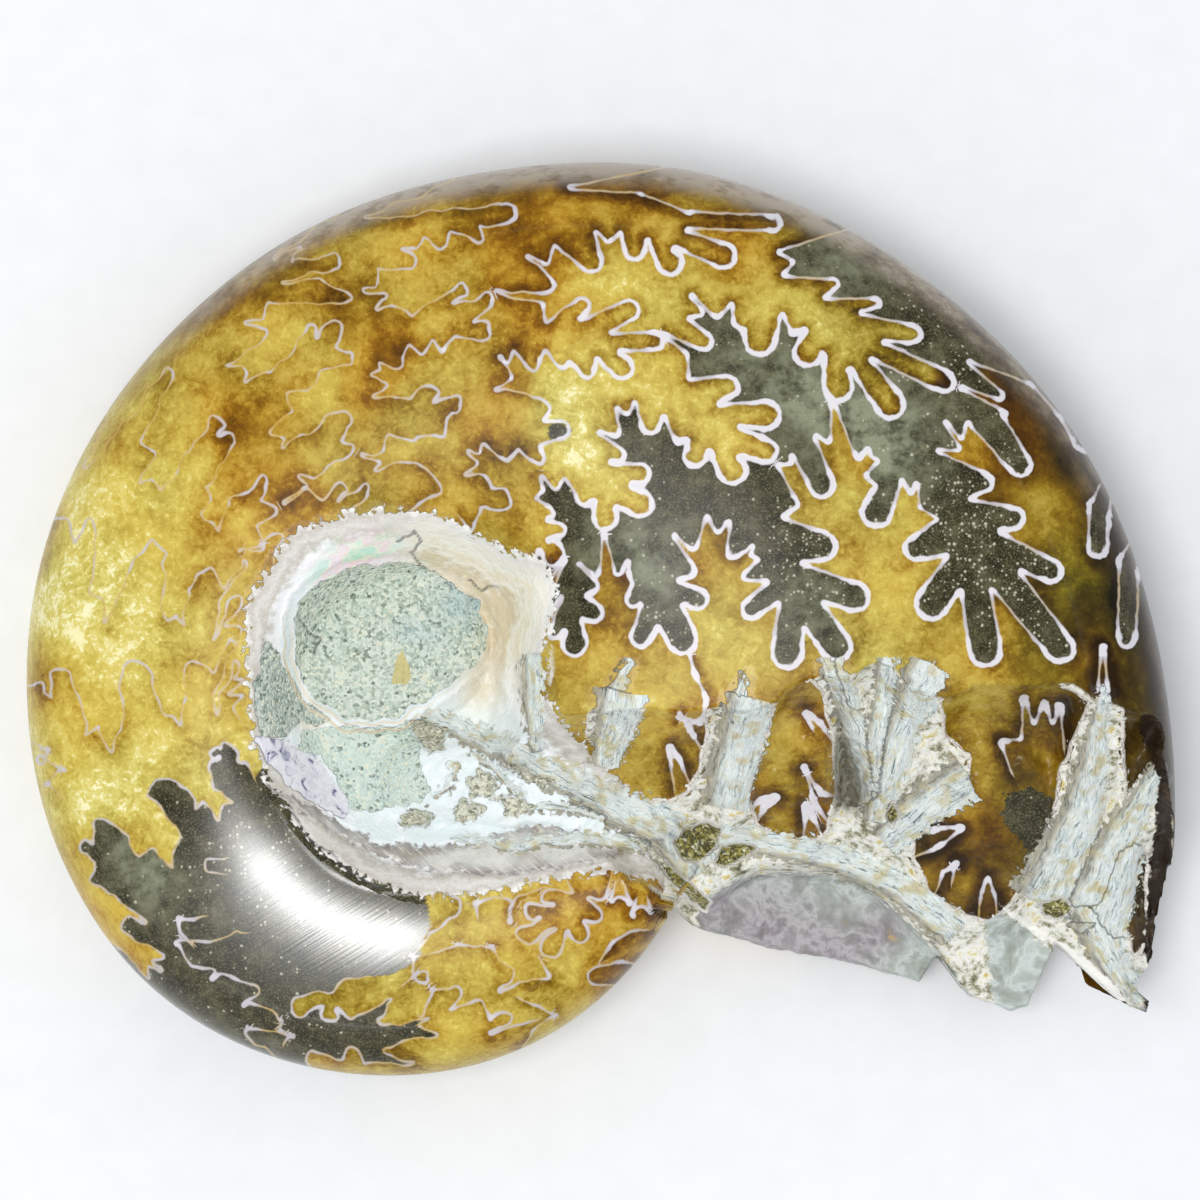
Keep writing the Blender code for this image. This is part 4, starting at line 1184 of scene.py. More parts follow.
def calcite(tree, colours):
    """Amber calcite that grew in the chambers, ground flat and polished: clear orange, or clouded."""
    mm = millimetres(tree)
    bend = add(tree, "TexNoise", {"Vector": mm, "Scale": 0.9, "Detail": 0.0})
    bent = add(tree, "VectorMath", [(bend, "Color"), (1.1, 1.1, 1.1), mm], operation="MULTIPLY_ADD")
    cloud = add(tree, "TexNoise", {"Vector": mm, "Scale": 1 / 4.2, "Detail": 2.0, "Roughness": 0.5})
    fine = add(tree, "TexNoise", {"Vector": bent, "Scale": 1 / 0.8, "Detail": 3.0, "Roughness": 0.75})
    grain = add(tree, "TexVoronoi", {"Vector": bent, "Scale": 1 / 1.1})
    grey = add(tree, "SeparateColor", [(grain, "Color")])
    # Crystal deepens in colour beside a suture, more on the side away from the mouth.
    rooted = add(tree, "MapRange", ["seam", -0.5, 0.5])
    root = add(tree, "ValToRGB", [rooted], stops=((0.44, 0.3), (0.56, 0.1)))
    near = add(tree, "MapRange", ["away", 1.5, 0.1], interpolation_type="SMOOTHSTEP")
    # The inner whorl is clearer, so its crystal darkens less beside the sutures.
    east = (add(tree, "SeparateXYZ", [mm]), "X")
    depth = add(tree, "MapRange", [east, -18.0, 4.0, 0.45])
    near = add(tree, "Math", [near, depth], operation="MULTIPLY")
    root = add(tree, "Math", [root, near], operation="MULTIPLY")
    # Clear orange crystal shows no grain, so the mottling grows with lightness.
    mottled = add(tree, "Math", ["light", 0.75, 0.12], operation="MULTIPLY_ADD")
    speck = add(tree, "Math", [fine, 0.5], operation="SUBTRACT")
    block = add(tree, "Math", [grey, 0.5], operation="SUBTRACT")
    speck = add(tree, "Math", [block, 0.16, speck], operation="MULTIPLY_ADD")
    tone = add(tree, "Math", [speck, mottled, "light"], operation="MULTIPLY_ADD")
    clouded = add(tree, "Math", [cloud, 0.5], operation="SUBTRACT")
    tone = add(tree, "Math", [clouded, 0.7, tone], operation="MULTIPLY_ADD")
    tone = add(tree, "Math", [tone, root], operation="SUBTRACT")
    sugar = add(tree, "TexNoise", {"Vector": mm, "Scale": 1 / 0.38, "Detail": 1.0})
    sugar = add(tree, "MapRange", [sugar, 0.54, 0.74, 0.0, 0.2])
    sugar = add(tree, "Math", [sugar, "light"], operation="MULTIPLY")
    tone = add(tree, "Math", [sugar, tone], operation="ADD")
    warm = add(tree, "ValToRGB", [tone], stops=(
        (0, "#3a2205"), (0.16, "#5f3b08"), (0.32, colours.amber_deep), (0.46, "#b48b2a"),
        (0.6, colours.amber_gold), (0.74, "#d3b84e"), (0.87, "#dfc868"), (1, colours.amber_pale)))
    olive = add(tree, "ValToRGB", [tone], stops=(
        (0, "#1c170c"), (0.2, "#433a12"), (0.4, "#776a1c"), (0.58, "#a39540"), (0.76, "#c4b95e"),
        (0.9, "#dbd17c"), (1, "#f3eec2")))
    warmth = add(tree, "TexNoise", {"Vector": mm, "Scale": 1 / 6.0, "Detail": 0.0})
    warmth = add(tree, "Math", [warmth, 1.0, "warm"], operation="MULTIPLY_ADD")
    warmth = add(tree, "Math", [warmth, 0.5], operation="SUBTRACT", use_clamp=True)
    colour = add(tree, "Mix", [warmth, olive, warm], data_type="RGBA")
    rough = add(tree, "MapRange", [fine, 0.0, 1.0, 0.22, 0.34])
    return colour, rough, 0.0


def mudstone(tree, colours):
    """Grey-green mud that set hard in the chambers, polished with them: pale grains and fine scratches."""
    mm = millimetres(tree)
    cloud = add(tree, "TexNoise", {"Vector": mm, "Scale": 1 / 2.2, "Detail": 3.0, "Roughness": 0.7})
    colour = add(tree, "ValToRGB", [cloud], stops=(
        (0.26, "#1f1c11"), (0.42, colours.mud_dark), (0.54, "#44402c"), (0.66, "#5a5640"),
        (0.8, colours.mud_pale)))
    haze = add(tree, "MapRange", [cloud, 0.36, 0.62, 0.15, 0.95])
    haze = add(tree, "Math", [haze, "haze"], operation="MULTIPLY", use_clamp=True)
    colour = add(tree, "Mix", [haze, colour, linear("#8e937a")], data_type="RGBA")
    # Real silt is too fine to see from here, so its dust is drawn coarser.
    dust = add(tree, "TexNoise", {"Vector": mm, "Scale": 1 / 0.16, "Detail": 0.0})
    dust = add(tree, "MapRange", [dust, 0.5, 0.78, 0.0, 0.55])
    colour = add(tree, "Mix", [dust, colour, linear("#7e7a5c")], data_type="RGBA")
    grains = add(tree, "TexVoronoi", {"Vector": mm, "Scale": 1 / 0.34})
    chances = add(tree, "SeparateColor", [(grains, "Color")])
    chance = add(tree, "Math", ["grainy", 0.42, 0.05], operation="MULTIPLY_ADD")
    crowd = add(tree, "MapRange", [cloud, 0.36, 0.6, 0.2, 1.7])
    chance = add(tree, "Math", [chance, crowd], operation="MULTIPLY")
    here = add(tree, "Math", [(chances, "Red"), chance], operation="LESS_THAN")
    far = add(tree, "Math", [(chances, "Green"), 0.3, (grains, "Distance")], operation="MULTIPLY_ADD")
    dot = add(tree, "MapRange", [far, 0.56, 0.24])
    dot = add(tree, "Math", [dot, here], operation="MULTIPLY")
    colour = add(tree, "Mix", [dot, colour, linear("#bdbba6")], data_type="RGBA")
    # The polishing wheel's scratches are hundredths of a millimetre wide, and are drawn coarser too.
    thin = add(tree, "VectorRotate", {"Vector": mm, "Angle": radians(-32)}, rotation_type="Z_AXIS")
    thin = add(tree, "VectorMath", [thin, (0.12, 5.0, 1.0)], operation="MULTIPLY")
    scratch = add(tree, "TexNoise", {"Vector": thin, "Scale": 1.0, "Detail": 1.0})
    rough = add(tree, "MapRange", [scratch, 0.35, 0.65, 0.13, 0.2])
    deep = add(tree, "Math", ["scored", 0.009], operation="MULTIPLY")
    return colour, rough, add(tree, "Math", [scratch, deep], operation="MULTIPLY")


def worn_rind(tree):
    """The shell's own outer layer, worn thin round the venter: patches of brown and grey."""
    mm = millimetres(tree)
    bend = add(tree, "TexNoise", {"Vector": mm, "Scale": 1 / 3.0, "Detail": 3.0, "Roughness": 0.7})
    # It is darkest by the mouth and pales round the top of the coil.
    north = (add(tree, "SeparateXYZ", [mm]), "Y")
    paler = add(tree, "MapRange", [north, 0.0, 38.0, -0.24, 0.34])
    colour = add(tree, "ValToRGB", [add(tree, "Math", [bend, paler], operation="ADD")], stops=(
        (0.28, "#2c2218"), (0.42, "#4f4031"), (0.55, "#6e5d4c"), (0.68, "#95866f"), (0.82, "#bcae9c")))
    return colour, 0.24, None


def sutures(tree, under, colours):
    """The edges of the shell's inner walls, cut through by the polish: lines from lavender white to cream."""
    mm = millimetres(tree)
    uneven = add(tree, "TexNoise", {"Vector": mm, "Scale": 1 / 0.9, "Detail": 1.0})
    half = add(tree, "MapRange", [uneven, 0.3, 0.7, 0.65, 1.35])
    half = add(tree, "Math", [half, "line"], operation="MULTIPLY")
    away = add(tree, "Math", ["seam"], operation="ABSOLUTE")
    # The side of a seam flips halfway to the next one too, so a line also has to be near in plain distance.
    plain = add(tree, "Math", ["away", 0.3], operation="SUBTRACT")
    away = add(tree, "Math", [away, plain], operation="MAXIMUM")
    inside = add(tree, "Math", [half, away], operation="SUBTRACT")
    mask = add(tree, "MapRange", [inside, -0.05, 0.07])
    hue = add(tree, "TexNoise", {"Vector": mm, "Scale": 1 / 5.0, "Detail": 0.0})
    thick = add(tree, "MapRange", ["line", 0.06, 0.22])
    hue = add(tree, "Math", [hue, 0.4, thick], operation="MULTIPLY_ADD")
    colour = add(tree, "ValToRGB", [hue], stops=(
        (0.2, colours.line_cream), (0.36, "#cdb68b"), (0.6, "#c6bfc0"), (0.85, "#d2cdd4"),
        (1.0, colours.line_white)))
    fade = add(tree, "Mix", [colours.suture_strength, under[0], colour], data_type="RGBA")
    return cover(tree, under, (fade, 0.2, None), mask)


def fibrous_septum(tree, colours):
    """A broken shell wall: white needle bundles, rusty streaks, grey-blue shadows and painted tan-grey shade.

    The bundles are drawn, about a quarter of a millimetre wide. Single needles are too fine to see.
    """
    mm = millimetres(tree)
    shift = add(tree, "TexNoise", {"Vector": mm, "Scale": 1 / 1.4, "Detail": 1.0})
    place = add(tree, "CombineXYZ", ["across", "travel", 0.0])
    place = add(tree, "VectorMath", [(shift, "Color"), (0.7, 2.5, 0.0), place], operation="MULTIPLY_ADD")
    needles = add(tree, "VectorMath", [place, (3.6, 0.5, 1.0)], operation="MULTIPLY")
    streak = add(tree, "TexNoise", {"Vector": needles, "Scale": 1.0, "Detail": 4.0, "Roughness": 0.76})
    colour = add(tree, "ValToRGB", [streak], stops=(
        (0.3, "#6a716b"), (0.37, "#a3aeab"), (0.43, "#dde9e8"), (0.48, colours.fibre_white), (0.6, "#f6f8ee"),
        (0.7, "#c9c7a8")))
    stain = add(tree, "MapRange", [shift, 0.52, 0.7, 0.0, 0.7])
    colour = add(tree, "Mix", [stain, colour, linear("#d6c78c")], data_type="RGBA")
    # Painted shade: one face of each rib, where it leans away, is coloured tan-grey as if in shadow.
    lean = add(tree, "Math", [shift, 0.8, "lean"], operation="MULTIPLY_ADD")
    side = add(tree, "MapRange", [lean, 0.02, -0.28, 0.0, 0.75])
    tan = add(tree, "ValToRGB", [streak], stops=((0.34, "#5f5748"), (0.5, "#a09680"), (0.66, "#cfc3a2")))
    colour = add(tree, "Mix", [side, colour, tan], data_type="RGBA")
    return colour, 0.6, add(tree, "Math", [streak, 0.4], operation="MULTIPLY")


def broken_shell(tree):
    """Where the shell snapped: chalky white and grey shell with yellow crystal showing through."""
    mm = millimetres(tree)
    patch = add(tree, "TexNoise", {"Vector": mm, "Scale": 1 / 1.5, "Detail": 4.0, "Roughness": 0.72})
    colour = add(tree, "ValToRGB", [patch], stops=(
        (0.3, "#55533f"), (0.4, "#a29f84"), (0.47, "#dddccf"), (0.56, "#f3f3ee"), (0.65, "#dccb84"),
        (0.78, "#a07f22")))
    return colour, 0.6, add(tree, "Math", [patch, 0.3], operation="MULTIPLY")


def grey_ledge(tree):
    """The mouth's far wall, of mud and shell: grey-green, with painted lilac-grey shade and ochre stains."""
    mm = millimetres(tree)
    patch = add(tree, "TexNoise", {
        "Vector": mm, "Scale": 1 / 3.2, "Detail": 4.0, "Roughness": 0.64, "Distortion": 0.4})
    colour = add(tree, "ValToRGB", [patch], stops=(
        (0.3, "#959b92"), (0.44, "#b0b8b0"), (0.5, "#cdd5d1"), (0.56, "#bac3ba"), (0.7, "#a4ada4"),
        (0.8, "#ccd2c4")))
    shaded_with_ochre = add(tree, "ValToRGB", [patch], stops=(
        (0.3, "#746e70"), (0.44, "#989296"), (0.5, "#b6b1b5"), (0.56, "#9f9a9d"), (0.66, "#888285"),
        (0.74, "#b79d72")))
    # Painted shade: where the ledge lies in shadow it is coloured a darker lilac grey, with ochre stains.
    colour = add(tree, "Mix", ["lilac", colour, shaded_with_ochre], data_type="RGBA")
    return colour, 0.6, add(tree, "Math", [patch, 0.25], operation="MULTIPLY")


def nacre(tree):
    """Mother-of-pearl, worn through its layers: white crust, tan and grey bands, a faint play of pink."""
    mm = millimetres(tree)
    bend = add(tree, "TexNoise", {"Vector": mm, "Scale": 1 / 1.6, "Detail": 4.0, "Roughness": 0.7})
    layer = add(tree, "Math", [bend, 2.8, "edge"], operation="MULTIPLY_ADD")
    layer = add(tree, "MapRange", [layer, 0.6, 5.0])
    grey = add(tree, "ValToRGB", [layer], stops=(
        (0.06, "#f8f6f0"), (0.14, "#ebe8e3"), (0.26, "#c6c0b6"), (0.42, "#dbd8d2"), (0.56, "#c3beb3"),
        (0.68, "#eceded"), (0.82, "#fafcfd"), (0.95, "#e9f2f3")))
    tan = add(tree, "ValToRGB", [layer], stops=(
        (0.1, "#fdfdfc"), (0.3, "#fcfcf8"), (0.42, "#f6f1e0"), (0.56, "#fbf9ee"), (0.7, "#f0e6cc"),
        (0.8, "#f7f3e6"), (0.95, "#dccdad")))
    colour = add(tree, "Mix", ["tan", grey, tan], data_type="RGBA")
    play = add(tree, "TexNoise", {"Vector": mm, "Scale": 1 / 1.5, "Detail": 1.0})
    hue = add(tree, "ValToRGB", [play], stops=(
        (0.36, "#bfe6d2"), (0.46, "#e9f3d8"), (0.54, "#f6d5da"), (0.64, "#f3e3ea")))
    colour = add(tree, "Mix", ["pink", colour, hue], data_type="RGBA")
    return colour, 0.3, add(tree, "Math", [bend, 0.3], operation="MULTIPLY")


def brown_nacre(tree):
    """Brown-grey mother-of-pearl below the umbilicus, wheel-scratched two ways, with shade painted at its
    edge.
    """
    mm = millimetres(tree)
    turned = add(tree, "VectorRotate", {"Vector": mm, "Angle": radians(38)}, rotation_type="Z_AXIS")
    thin = add(tree, "VectorMath", [turned, (0.25, 4.5, 1.0)], operation="MULTIPLY")
    scratch = add(tree, "TexNoise", {"Vector": thin, "Scale": 1.0, "Detail": 3.0})
    patch = add(tree, "TexNoise", {"Vector": mm, "Scale": 1 / 3.0, "Detail": 3.0})
    colour = add(tree, "ValToRGB", [patch], stops=(
        (0.3, "#a59c8c"), (0.42, "#bfbab0"), (0.52, "#cdcdc8"), (0.62, "#dadad4"), (0.75, "#e8e6de")))
    # Painted shade: the crescent's edge is darkened to grey-mauve, for the groove in shadow under the wedge.
    rim = add(tree, "Math", [patch, 1.2, "crescent"], operation="MULTIPLY_ADD")
    rim = add(tree, "MapRange", [rim, 1.5, 0.5, 0.0, 0.8])
    colour = add(tree, "Mix", [rim, colour, linear("#8b8182")], data_type="RGBA")
    mark = add(tree, "MapRange", [scratch, 0.5, 0.66, 0.0, 0.8])
    colour = add(tree, "Mix", [mark, colour, linear("#e3ddd2")], data_type="RGBA")
    return colour, 0.32, None


def sandstone(tree, light, dark):
    """Grains of sand set in green clay, unpolished: each grain is lighter or darker than the next."""
    mm = millimetres(tree)
    grains = add(tree, "TexVoronoi", {"Vector": mm, "Scale": 1 / GRAIN_WIDTH})
    tone = add(tree, "SeparateColor", [(grains, "Color")])
    patch = add(tree, "TexNoise", {"Vector": mm, "Scale": 1 / 1.2, "Detail": 3.0, "Roughness": 0.7})
    tone = add(tree, "Math", [patch, 0.8, tone], operation="MULTIPLY_ADD")
    tone = add(tree, "MapRange", [tone, 0.3, 1.5])
    colour = add(tree, "ValToRGB", [tone], stops=(
        (0.0, "#6c756b"), (0.22, dark), (0.7, light), (0.95, "#e6e6cf")))
    blue = add(tree, "Math", ["blue", 0.55], operation="MULTIPLY", use_clamp=True)
    colour = add(tree, "Mix", [blue, colour, linear("#a9c6cf")], data_type="RGBA")
    gap = add(tree, "MapRange", [(grains, "Distance"), 0.8, 0.2])
    return colour, 0.8, add(tree, "Math", [gap, 0.1], operation="MULTIPLY")


def marbled_mud(tree):
    """A smooth lilac-white sliver with dark blue-black veins."""
    mm = millimetres(tree)
    vein = add(tree, "TexNoise", {"Vector": mm, "Scale": 1 / 1.2, "Detail": 4.0, "Distortion": 1.2})
    colour = add(tree, "ValToRGB", [vein], stops=(
        (0.3, "#4c506a"), (0.36, "#a9abc0"), (0.44, "#dcdbe6"), (0.6, "#eeedf2"), (0.7, "#c3c4d2")))
    return colour, 0.3, 0.0


def shade_piece(tree, finish, gloss, wax=0.0):
    """Ends a material: the finish on a stone surface, its height as fine relief, and any wax over it."""
    bump = add(tree, "Bump", {"Strength": 1.0, "Distance": MM, "Height": finish[2]})
    shader = add(tree, "BsdfPrincipled", {
        "Base Color": finish[0], "Roughness": finish[1], "IOR": STONE_IOR, "Specular IOR Level": gloss,
        "Normal": bump, "Coat Weight": wax, "Coat Roughness": WAX_ROUGHNESS, "Coat IOR": WAX_IOR,
        "Coat Normal": bump})
    output = tree.nodes.new("ShaderNodeOutputMaterial")
    tree.links.new(shader.outputs[0], output.inputs[0])


def new_material(name):
    """An empty node material."""
    material = bpy.data.materials.new(name)
    material.use_nodes = True
    material.node_tree.nodes.clear()
    return material


def polished_base(tree, colours, dark=0.0):
    """The flank's own finish, of calcite, mud, rind and sutures, with mud where a mask is dark as well."""
    mud = add(tree, "Math", ["mud", dark], operation="MAXIMUM")
    stone = cover(tree, calcite(tree, colours), mudstone(tree, colours), mud)
    stone = cover(tree, stone, worn_rind(tree), add(tree, "Math", ["rind", 0.8], operation="MULTIPLY"))
    return sutures(tree, stone, colours)


def polished_flank(colours):
    """The ground and polished flank: amber calcite and grey mudstone, parted by the sutures."""
    material = new_material("polished_calcite_and_mudstone")
    tree = material.node_tree
    wax = add(tree, "Math", ["scored", "mud"], operation="MULTIPLY", use_clamp=True)
    shade_piece(tree, polished_base(tree, colours), POLISH, wax)
    return material


def snapped_mouth(colours):
    """The broken mouth: white fibrous septa, amber crystal between them, grey stone below, and painted shade.
    """
    material = new_material("broken_calcite_and_fibrous_septa")
    tree = material.node_tree
    chamber = within(tree, "chamber", 0.08, 0.5)
    dark = add(tree, "Math", [within(tree, "patch", 0.1, 0.4), chamber], operation="MULTIPLY")
    base = polished_base(tree, colours, dark)
    crumbled = add(tree, "Math", [1.0, chamber], operation="SUBTRACT")
    crumbled = add(tree, "Math", [crumbled, "broken"], operation="MULTIPLY")
    finish = cover(tree, base, broken_shell(tree), crumbled)
    brim = add(tree, "Math", [outlined(tree, "chamber", 0.0, 0.16), "broken"], operation="MULTIPLY")
    finish = cover(tree, finish, (linear("#e6e0d6"), 0.4, None), brim)
    finish = cover(tree, finish, grey_ledge(tree), within(tree, "ledge", 0.1, 0.3))
    finish = cover(tree, finish, fibrous_septum(tree, colours), within(tree, "fibre", 0.1, 0.5))
    finish = cover(tree, finish, sandstone(tree, "#a8a05c", "#57512c"), within(tree, "pocket", 0.08, 0.15))
    finish = cover(tree, finish, (linear("#e9e7df"), 0.4, None), outlined(tree, "pocket", 0.0, 0.12))
    finish = cover(tree, finish, nacre(tree), within(tree, "blade", 0.1, 0.2))
    finish = cover(tree, finish, worn_rind(tree), within(tree, "strip", 0.08, 0.2))
    # Painted shade: the hollow is coloured dark olive-grey, as the shadow inside it.
    shade = add(tree, "Math", [within(tree, "hollow", 0.9, 0.5), 0.75], operation="MULTIPLY")
    finish = cover(tree, finish, (linear("#66614f"), 0.8, None), shade)
    shade_piece(tree, finish, ROUGH_GLOSS)
    return material


def open_umbilicus(colours):
    """The umbilicus: worn mother-of-pearl round a fill of sand and green mud, lightened by painted light."""
    material = new_material("nacre_and_sandstone")
    tree = material.node_tree
    finish = polished_base(tree, colours)
    # Painted light: these fills are coloured lighter and cooler than the stone is, as a glow round the
    # umbilicus.
    for over, field, soft, ragged in (
        (nacre(tree), "edge", 0.1, 0.5),
        (brown_nacre(tree), "crescent", 0.12, 0.3),
        (fibrous_septum(tree, colours), "fibre", 0.1, 0.5),
        (sandstone(tree, "#dcdccb", "#a8a590"), "pocket", 0.1, 0.3),
        (marbled_mud(tree), "marbled", 0.06, 0.1),
        (sandstone(tree, "#d8e7dd", "#c8d8ce"), "green", 0.06, 0.15),
        (sandstone(tree, "#cbd6cd", "#a0afa4"), "sliver", 0.06, 0.1),
        (sandstone(tree, colours.sand_light_with_painted_light, colours.sand_dark_with_painted_light), "sand", 0.06, 0.1),
    ):
        finish = cover(tree, finish, over, within(tree, field, soft, ragged))
    # Two thin edges of shell round the sand, which show at the lower left.
    place = add(tree, "SeparateXYZ", [millimetres(tree)])
    low = add(tree, "MapRange", [(place, "Y"), 2.0, -4.0])
    left = add(tree, "MapRange", [(place, "X"), -12.0, -17.0])
    low_left = add(tree, "Math", [low, left], operation="MULTIPLY")
    for level, tone in ((-0.35, "#f0e7d6"), (-0.95, "#e2d6bd")):
        ring = add(tree, "Math", [outlined(tree, "sand", level, 0.13), low_left], operation="MULTIPLY")
        finish = cover(tree, finish, (linear(tone), 0.35, None), ring)
    finish = cover(tree, finish, (linear("#cfc48a"), 0.4, None), within(tree, "chip", 0.04, 0.05))
    crack = add(tree, "MapRange", ["crack", 0.18, 0.05, 0.0, 0.7])
    finish = cover(tree, finish, (linear("#4a5054"), 0.7, None), crack)
    shade_piece(tree, finish, ROUGH_GLOSS)
    return material


def panel_colour(name, description, code):
    """A colour that can be set in the panel."""
    return bpy.props.FloatVectorProperty(
        name=name, description=description, default=linear(code)[:3], subtype="COLOR", size=3, min=0, max=1)


class AmmoniteColours(bpy.types.PropertyGroup):
    """Colours and strengths of the finishes."""

    amber_deep: panel_colour("Deep amber", "Calcite where it is clear and deep", "#8d600f")
    amber_gold: panel_colour("Golden amber", "Calcite of middling lightness", "#c8a746")
    amber_pale: panel_colour("Pale amber", "Calcite where it is clouded", "#efe39c")
    mud_dark: panel_colour("Dark mud", "Mudstone in the chambers", "#322f1f")
    mud_pale: panel_colour("Pale mud", "Pale clouds in the mudstone", "#7b7860")
    line_cream: panel_colour("Thin suture", "Sutures where they are thin", "#c8a75c")
    line_white: panel_colour("Wide suture", "Sutures where they are wide", "#e9e6ec")
    fibre_white: panel_colour("Fibres", "Fibres of the broken walls", "#f1fbf9")
    # Painted light: the sand's colours are lighter and cooler than the sand, as a glow round the umbilicus.
    sand_light_with_painted_light: panel_colour("Light sand", "Light grains in the umbilicus", "#dbe6da")
    sand_dark_with_painted_light: panel_colour("Dark sand", "Dark grains in the umbilicus", "#b2c0b0")
    suture_strength: bpy.props.FloatProperty(
        name="Suture strength", description="How plainly the sutures show", default=0.88, min=0, max=1,
        subtype="FACTOR")


class AmmoniteSizes(bpy.types.PropertyGroup):
    """Sizes of what is drawn and raised."""

    thin_line: bpy.props.FloatProperty(
        name="Thin suture", description="Width of a suture on the inner whorl", default=0.00014, min=0,
        unit="LENGTH")
    wide_line: bpy.props.FloatProperty(
        name="Wide suture", description="Width of a suture near the mouth", default=0.0002, min=0,
        unit="LENGTH")
    splinters: bpy.props.FloatProperty(
        name="Splinters", description="Height of the broken fibres", default=0.00085, min=0, max=0.0015,
        unit="LENGTH")


class AmmoniteStage(bpy.types.PropertyGroup):
    """Sizes and strengths of the stage."""

    sky: bpy.props.FloatProperty(name="Sky", description="Strength of the even light", default=0.67, min=0)
    lamp: bpy.props.FloatProperty(
        name="Lamp", description="Power of the soft box", default=1.0, min=0, unit="POWER")
    floor_size: bpy.props.FloatProperty(
        name="Floor", description="Width of the floor", default=3.0, min=0.5, unit="LENGTH")


class AMMONITE_OT_flank(bpy.types.Operator):
    """Make the polished flank, in three pieces that meet edge to edge"""

    bl_idname = "ammonite.flank"
    bl_label = "Polished flank"

    def execute(self, context):
        (skin, fields), _ = made_skins(context)
        parts = regions(skin, fields)
        kept = {name: fields[name] for name in FLANK_FIELDS}
        material = polished_flank(context.scene.ammonite_colours)
        for number, name in enumerate(FLANK_NAMES):
            make_piece(name, skin, kept, parts == number, material)
        return {"FINISHED"}


class AMMONITE_OT_mouth(bpy.types.Operator):
    """Make the broken mouth, with its septa and the crystal between them"""

    bl_idname = "ammonite.mouth"
    bl_label = "Broken mouth"

    def execute(self, context):
        (skin, fields), _ = made_skins(context)
        material = snapped_mouth(context.scene.ammonite_colours)
        make_piece("broken_mouth", skin, fields, regions(skin, fields) == BREAK, material)
        return {"FINISHED"}


class AMMONITE_OT_umbilicus(bpy.types.Operator):
    """Make the umbilicus, with its rim of shell and its fill of sand"""

    bl_idname = "ammonite.umbilicus"
    bl_label = "Umbilicus"

    def execute(self, context):
        (skin, fields), _ = made_skins(context)
        material = open_umbilicus(context.scene.ammonite_colours)
        make_piece("umbilicus", skin, fields, regions(skin, fields) == UMBILICUS, material)
        return {"FINISHED"}


class AMMONITE_OT_underside(bpy.types.Operator):
    """Make the side that the fossil lies on, with the same sutures"""

    bl_idname = "ammonite.underside"
    bl_label = "Underside"

    def execute(self, context):
        _, (skin, fields) = made_skins(context)
        material = polished_flank(context.scene.ammonite_colours)
        make_piece("underside", skin, fields, np.ones(len(skin.faces), bool), material)
        return {"FINISHED"}


class AMMONITE_OT_stage(bpy.types.Operator):
    """Make the floor, the even sky, the soft box and the camera"""

    bl_idname = "ammonite.stage"
    bl_label = "Stage"

    def execute(self, context):
        stage = context.scene.ammonite_stage
        context.scene.view_settings.view_transform = "Standard"
        light_sky(context.scene, stage.sky)
        lay_floor(context.scene, stage.floor_size)
        place_camera(context.scene)
        hang_soft_box(context.scene, stage.lamp)
        return {"FINISHED"}


def light_sky(scene, strength):
    """An even, very slightly blue-white sky, as in a light tent."""
    world = bpy.data.worlds.new("sky")
    world.use_nodes = True
    background = world.node_tree.nodes["Background"]
    background.inputs["Color"].default_value = linear("#fafcff")
    background.inputs["Strength"].default_value = strength
    scene.world = world


def matt_paper():
    """Matt white paper, barely flecked. Real fibres are finer, and wouldn't show."""
    material = new_material("matt_white_paper")
    tree = material.node_tree
    fleck = add(tree, "TexNoise", {"Scale": 900.0, "Detail": 2.0})
    white = add(tree, "ValToRGB", [fleck], stops=((0.3, "#f3f5f7"), (0.7, "#f6f8fa")))
    shade_piece(tree, (white, 0.9, 0.0), PAPER_GLOSS)
    return material


def lay_floor(scene, size):
    """The paper that the fossil lies on, a hair below it."""
    mesh = bmesh.new()
    bmesh.ops.create_grid(mesh, x_segments=2, y_segments=2, size=size / 2)
    data = bpy.data.meshes.new("floor")
    mesh.to_mesh(data)
    mesh.free()
    data.materials.append(matt_paper())
    floor = bpy.data.objects.new("floor", data)
    floor.location.z = -FLOOR_GAP
    scene.collection.objects.link(floor)


def place_camera(scene):
    """The camera, straight above the fossil."""
    camera = bpy.data.objects.new("camera", bpy.data.cameras.new("camera"))
    camera.data.lens, camera.data.sensor_width = CAMERA_LENS, CAMERA_SENSOR
    camera.data.clip_start = 0.01
    camera.location = Vector(CAMERA_PLACE) * MM
    scene.collection.objects.link(camera)
    scene.camera = camera


def hang_soft_box(scene, power):
    """A soft box where the flank mirrors it to the camera."""
    lamp = bpy.data.objects.new("soft_box", bpy.data.lights.new("soft_box", "AREA"))
    lamp.data.shape = "RECTANGLE"
    lamp.data.size, lamp.data.size_y = SOFT_BOX_SIZE
    lamp.data.energy = power
    glint, facing = glint_on_flank()
    lamp.location = glint + facing * SOFT_BOX_DISTANCE
    lamp.rotation_mode = "QUATERNION"
    lamp.rotation_quaternion = facing.to_track_quat("Z", "Y")
    scene.collection.objects.link(lamp)


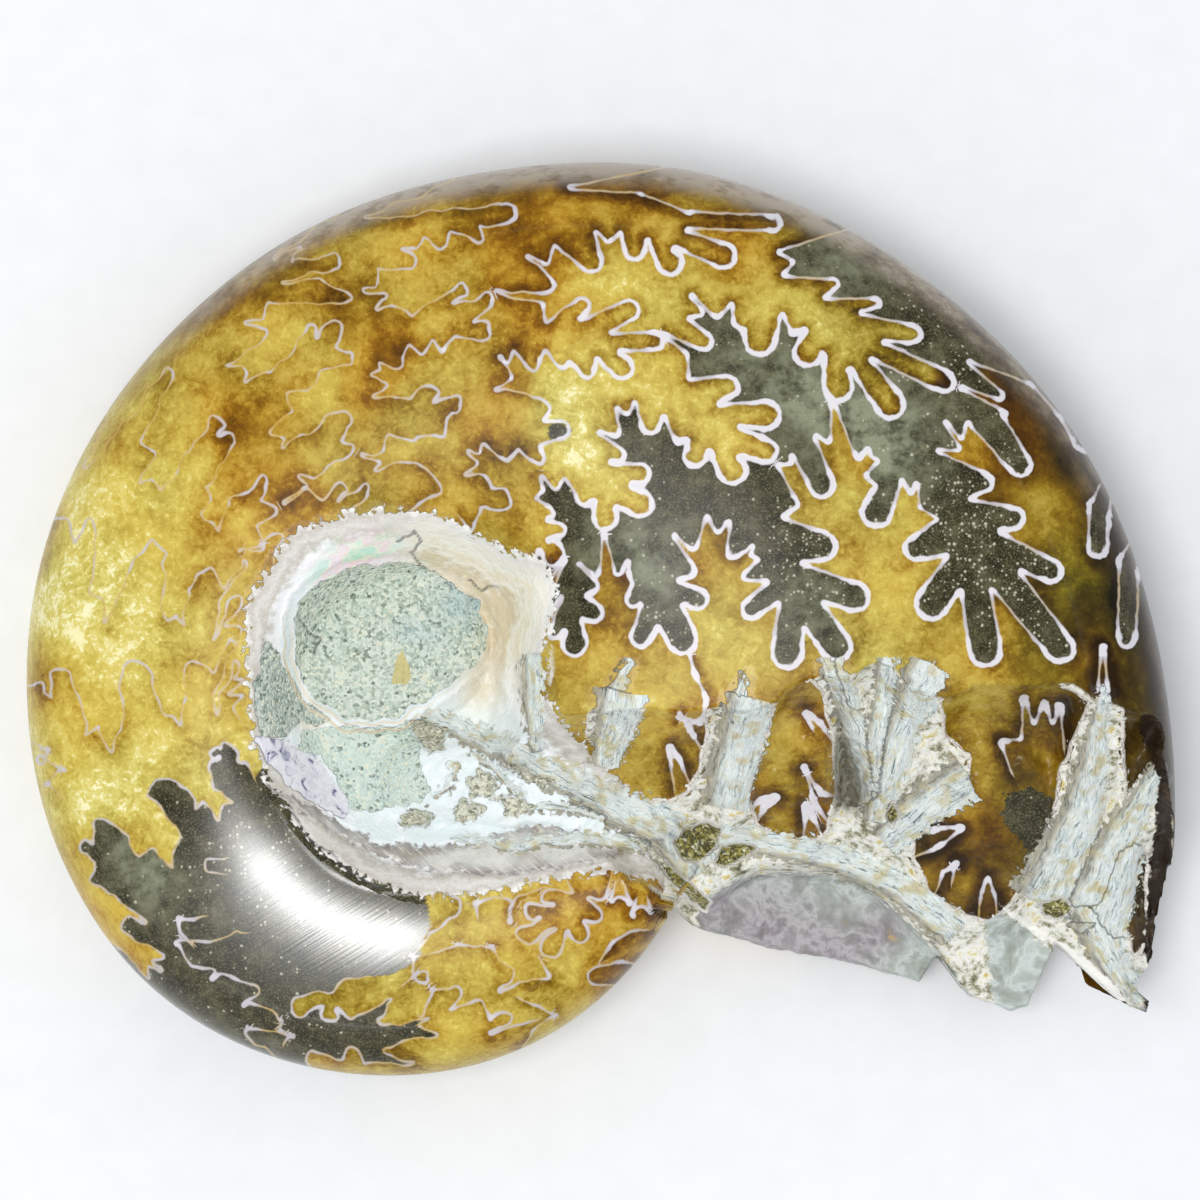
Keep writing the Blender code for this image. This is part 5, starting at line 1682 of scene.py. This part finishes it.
def glint_on_flank():
    """Where the soft box mirrors in the flank, in metres, and the way that the camera's sight leaves it."""
    across, down = np.array(GLINT_PLACE) - FRAME_WIDTH / 2
    place = np.array([[across, -down]]) / FRAME_SCALE + CAMERA_PLACE[:2]
    here, east, north = (
        float(Coil(place[:, 0] + dx, place[:, 1] + dy).level(1)[0])
        for dx, dy in ((0, 0), (SLOPE_STEP, 0), (0, SLOPE_STEP))
    )
    normal = Vector(((here - east) / SLOPE_STEP, (here - north) / SLOPE_STEP, 1.0)).normalized()
    glint = Vector((*place[0], here)) * MM
    sight = (glint - Vector(CAMERA_PLACE) * MM).normalized()
    return glint, sight.reflect(normal)


class AMMONITE_PT_panel(bpy.types.Panel):
    """The fossil's pieces, stage and finishes"""

    bl_label = "Polished ammonite"
    bl_space_type = "VIEW_3D"
    bl_region_type = "UI"
    bl_category = "Ammonite"

    def draw(self, context):
        for operator in OPERATORS:
            self.layout.operator(operator.bl_idname)
        for group in GROUPS:
            settings = getattr(context.scene, group)
            for name in settings.__annotations__:
                self.layout.prop(settings, name)


OPERATORS = (
    AMMONITE_OT_flank, AMMONITE_OT_mouth, AMMONITE_OT_umbilicus, AMMONITE_OT_underside, AMMONITE_OT_stage,
)
GROUPS = {
    "ammonite_colours": AmmoniteColours, "ammonite_sizes": AmmoniteSizes, "ammonite_stage": AmmoniteStage,
}
CLASSES = (*GROUPS.values(), *OPERATORS, AMMONITE_PT_panel)


def register():
    """Adds the properties, the operators and the panel."""
    for each in CLASSES:
        bpy.utils.register_class(each)
    for name, group in GROUPS.items():
        setattr(bpy.types.Scene, name, bpy.props.PointerProperty(type=group))


def unregister():
    """Takes away what register added."""
    for name in GROUPS:
        delattr(bpy.types.Scene, name)
    for each in reversed(CLASSES):
        bpy.utils.unregister_class(each)


def main():
    """Makes every piece and the stage."""
    register()
    bpy.ops.ammonite.flank()
    bpy.ops.ammonite.mouth()
    bpy.ops.ammonite.umbilicus()
    bpy.ops.ammonite.underside()
    bpy.ops.ammonite.stage()


if __name__ == "__main__":
    main()
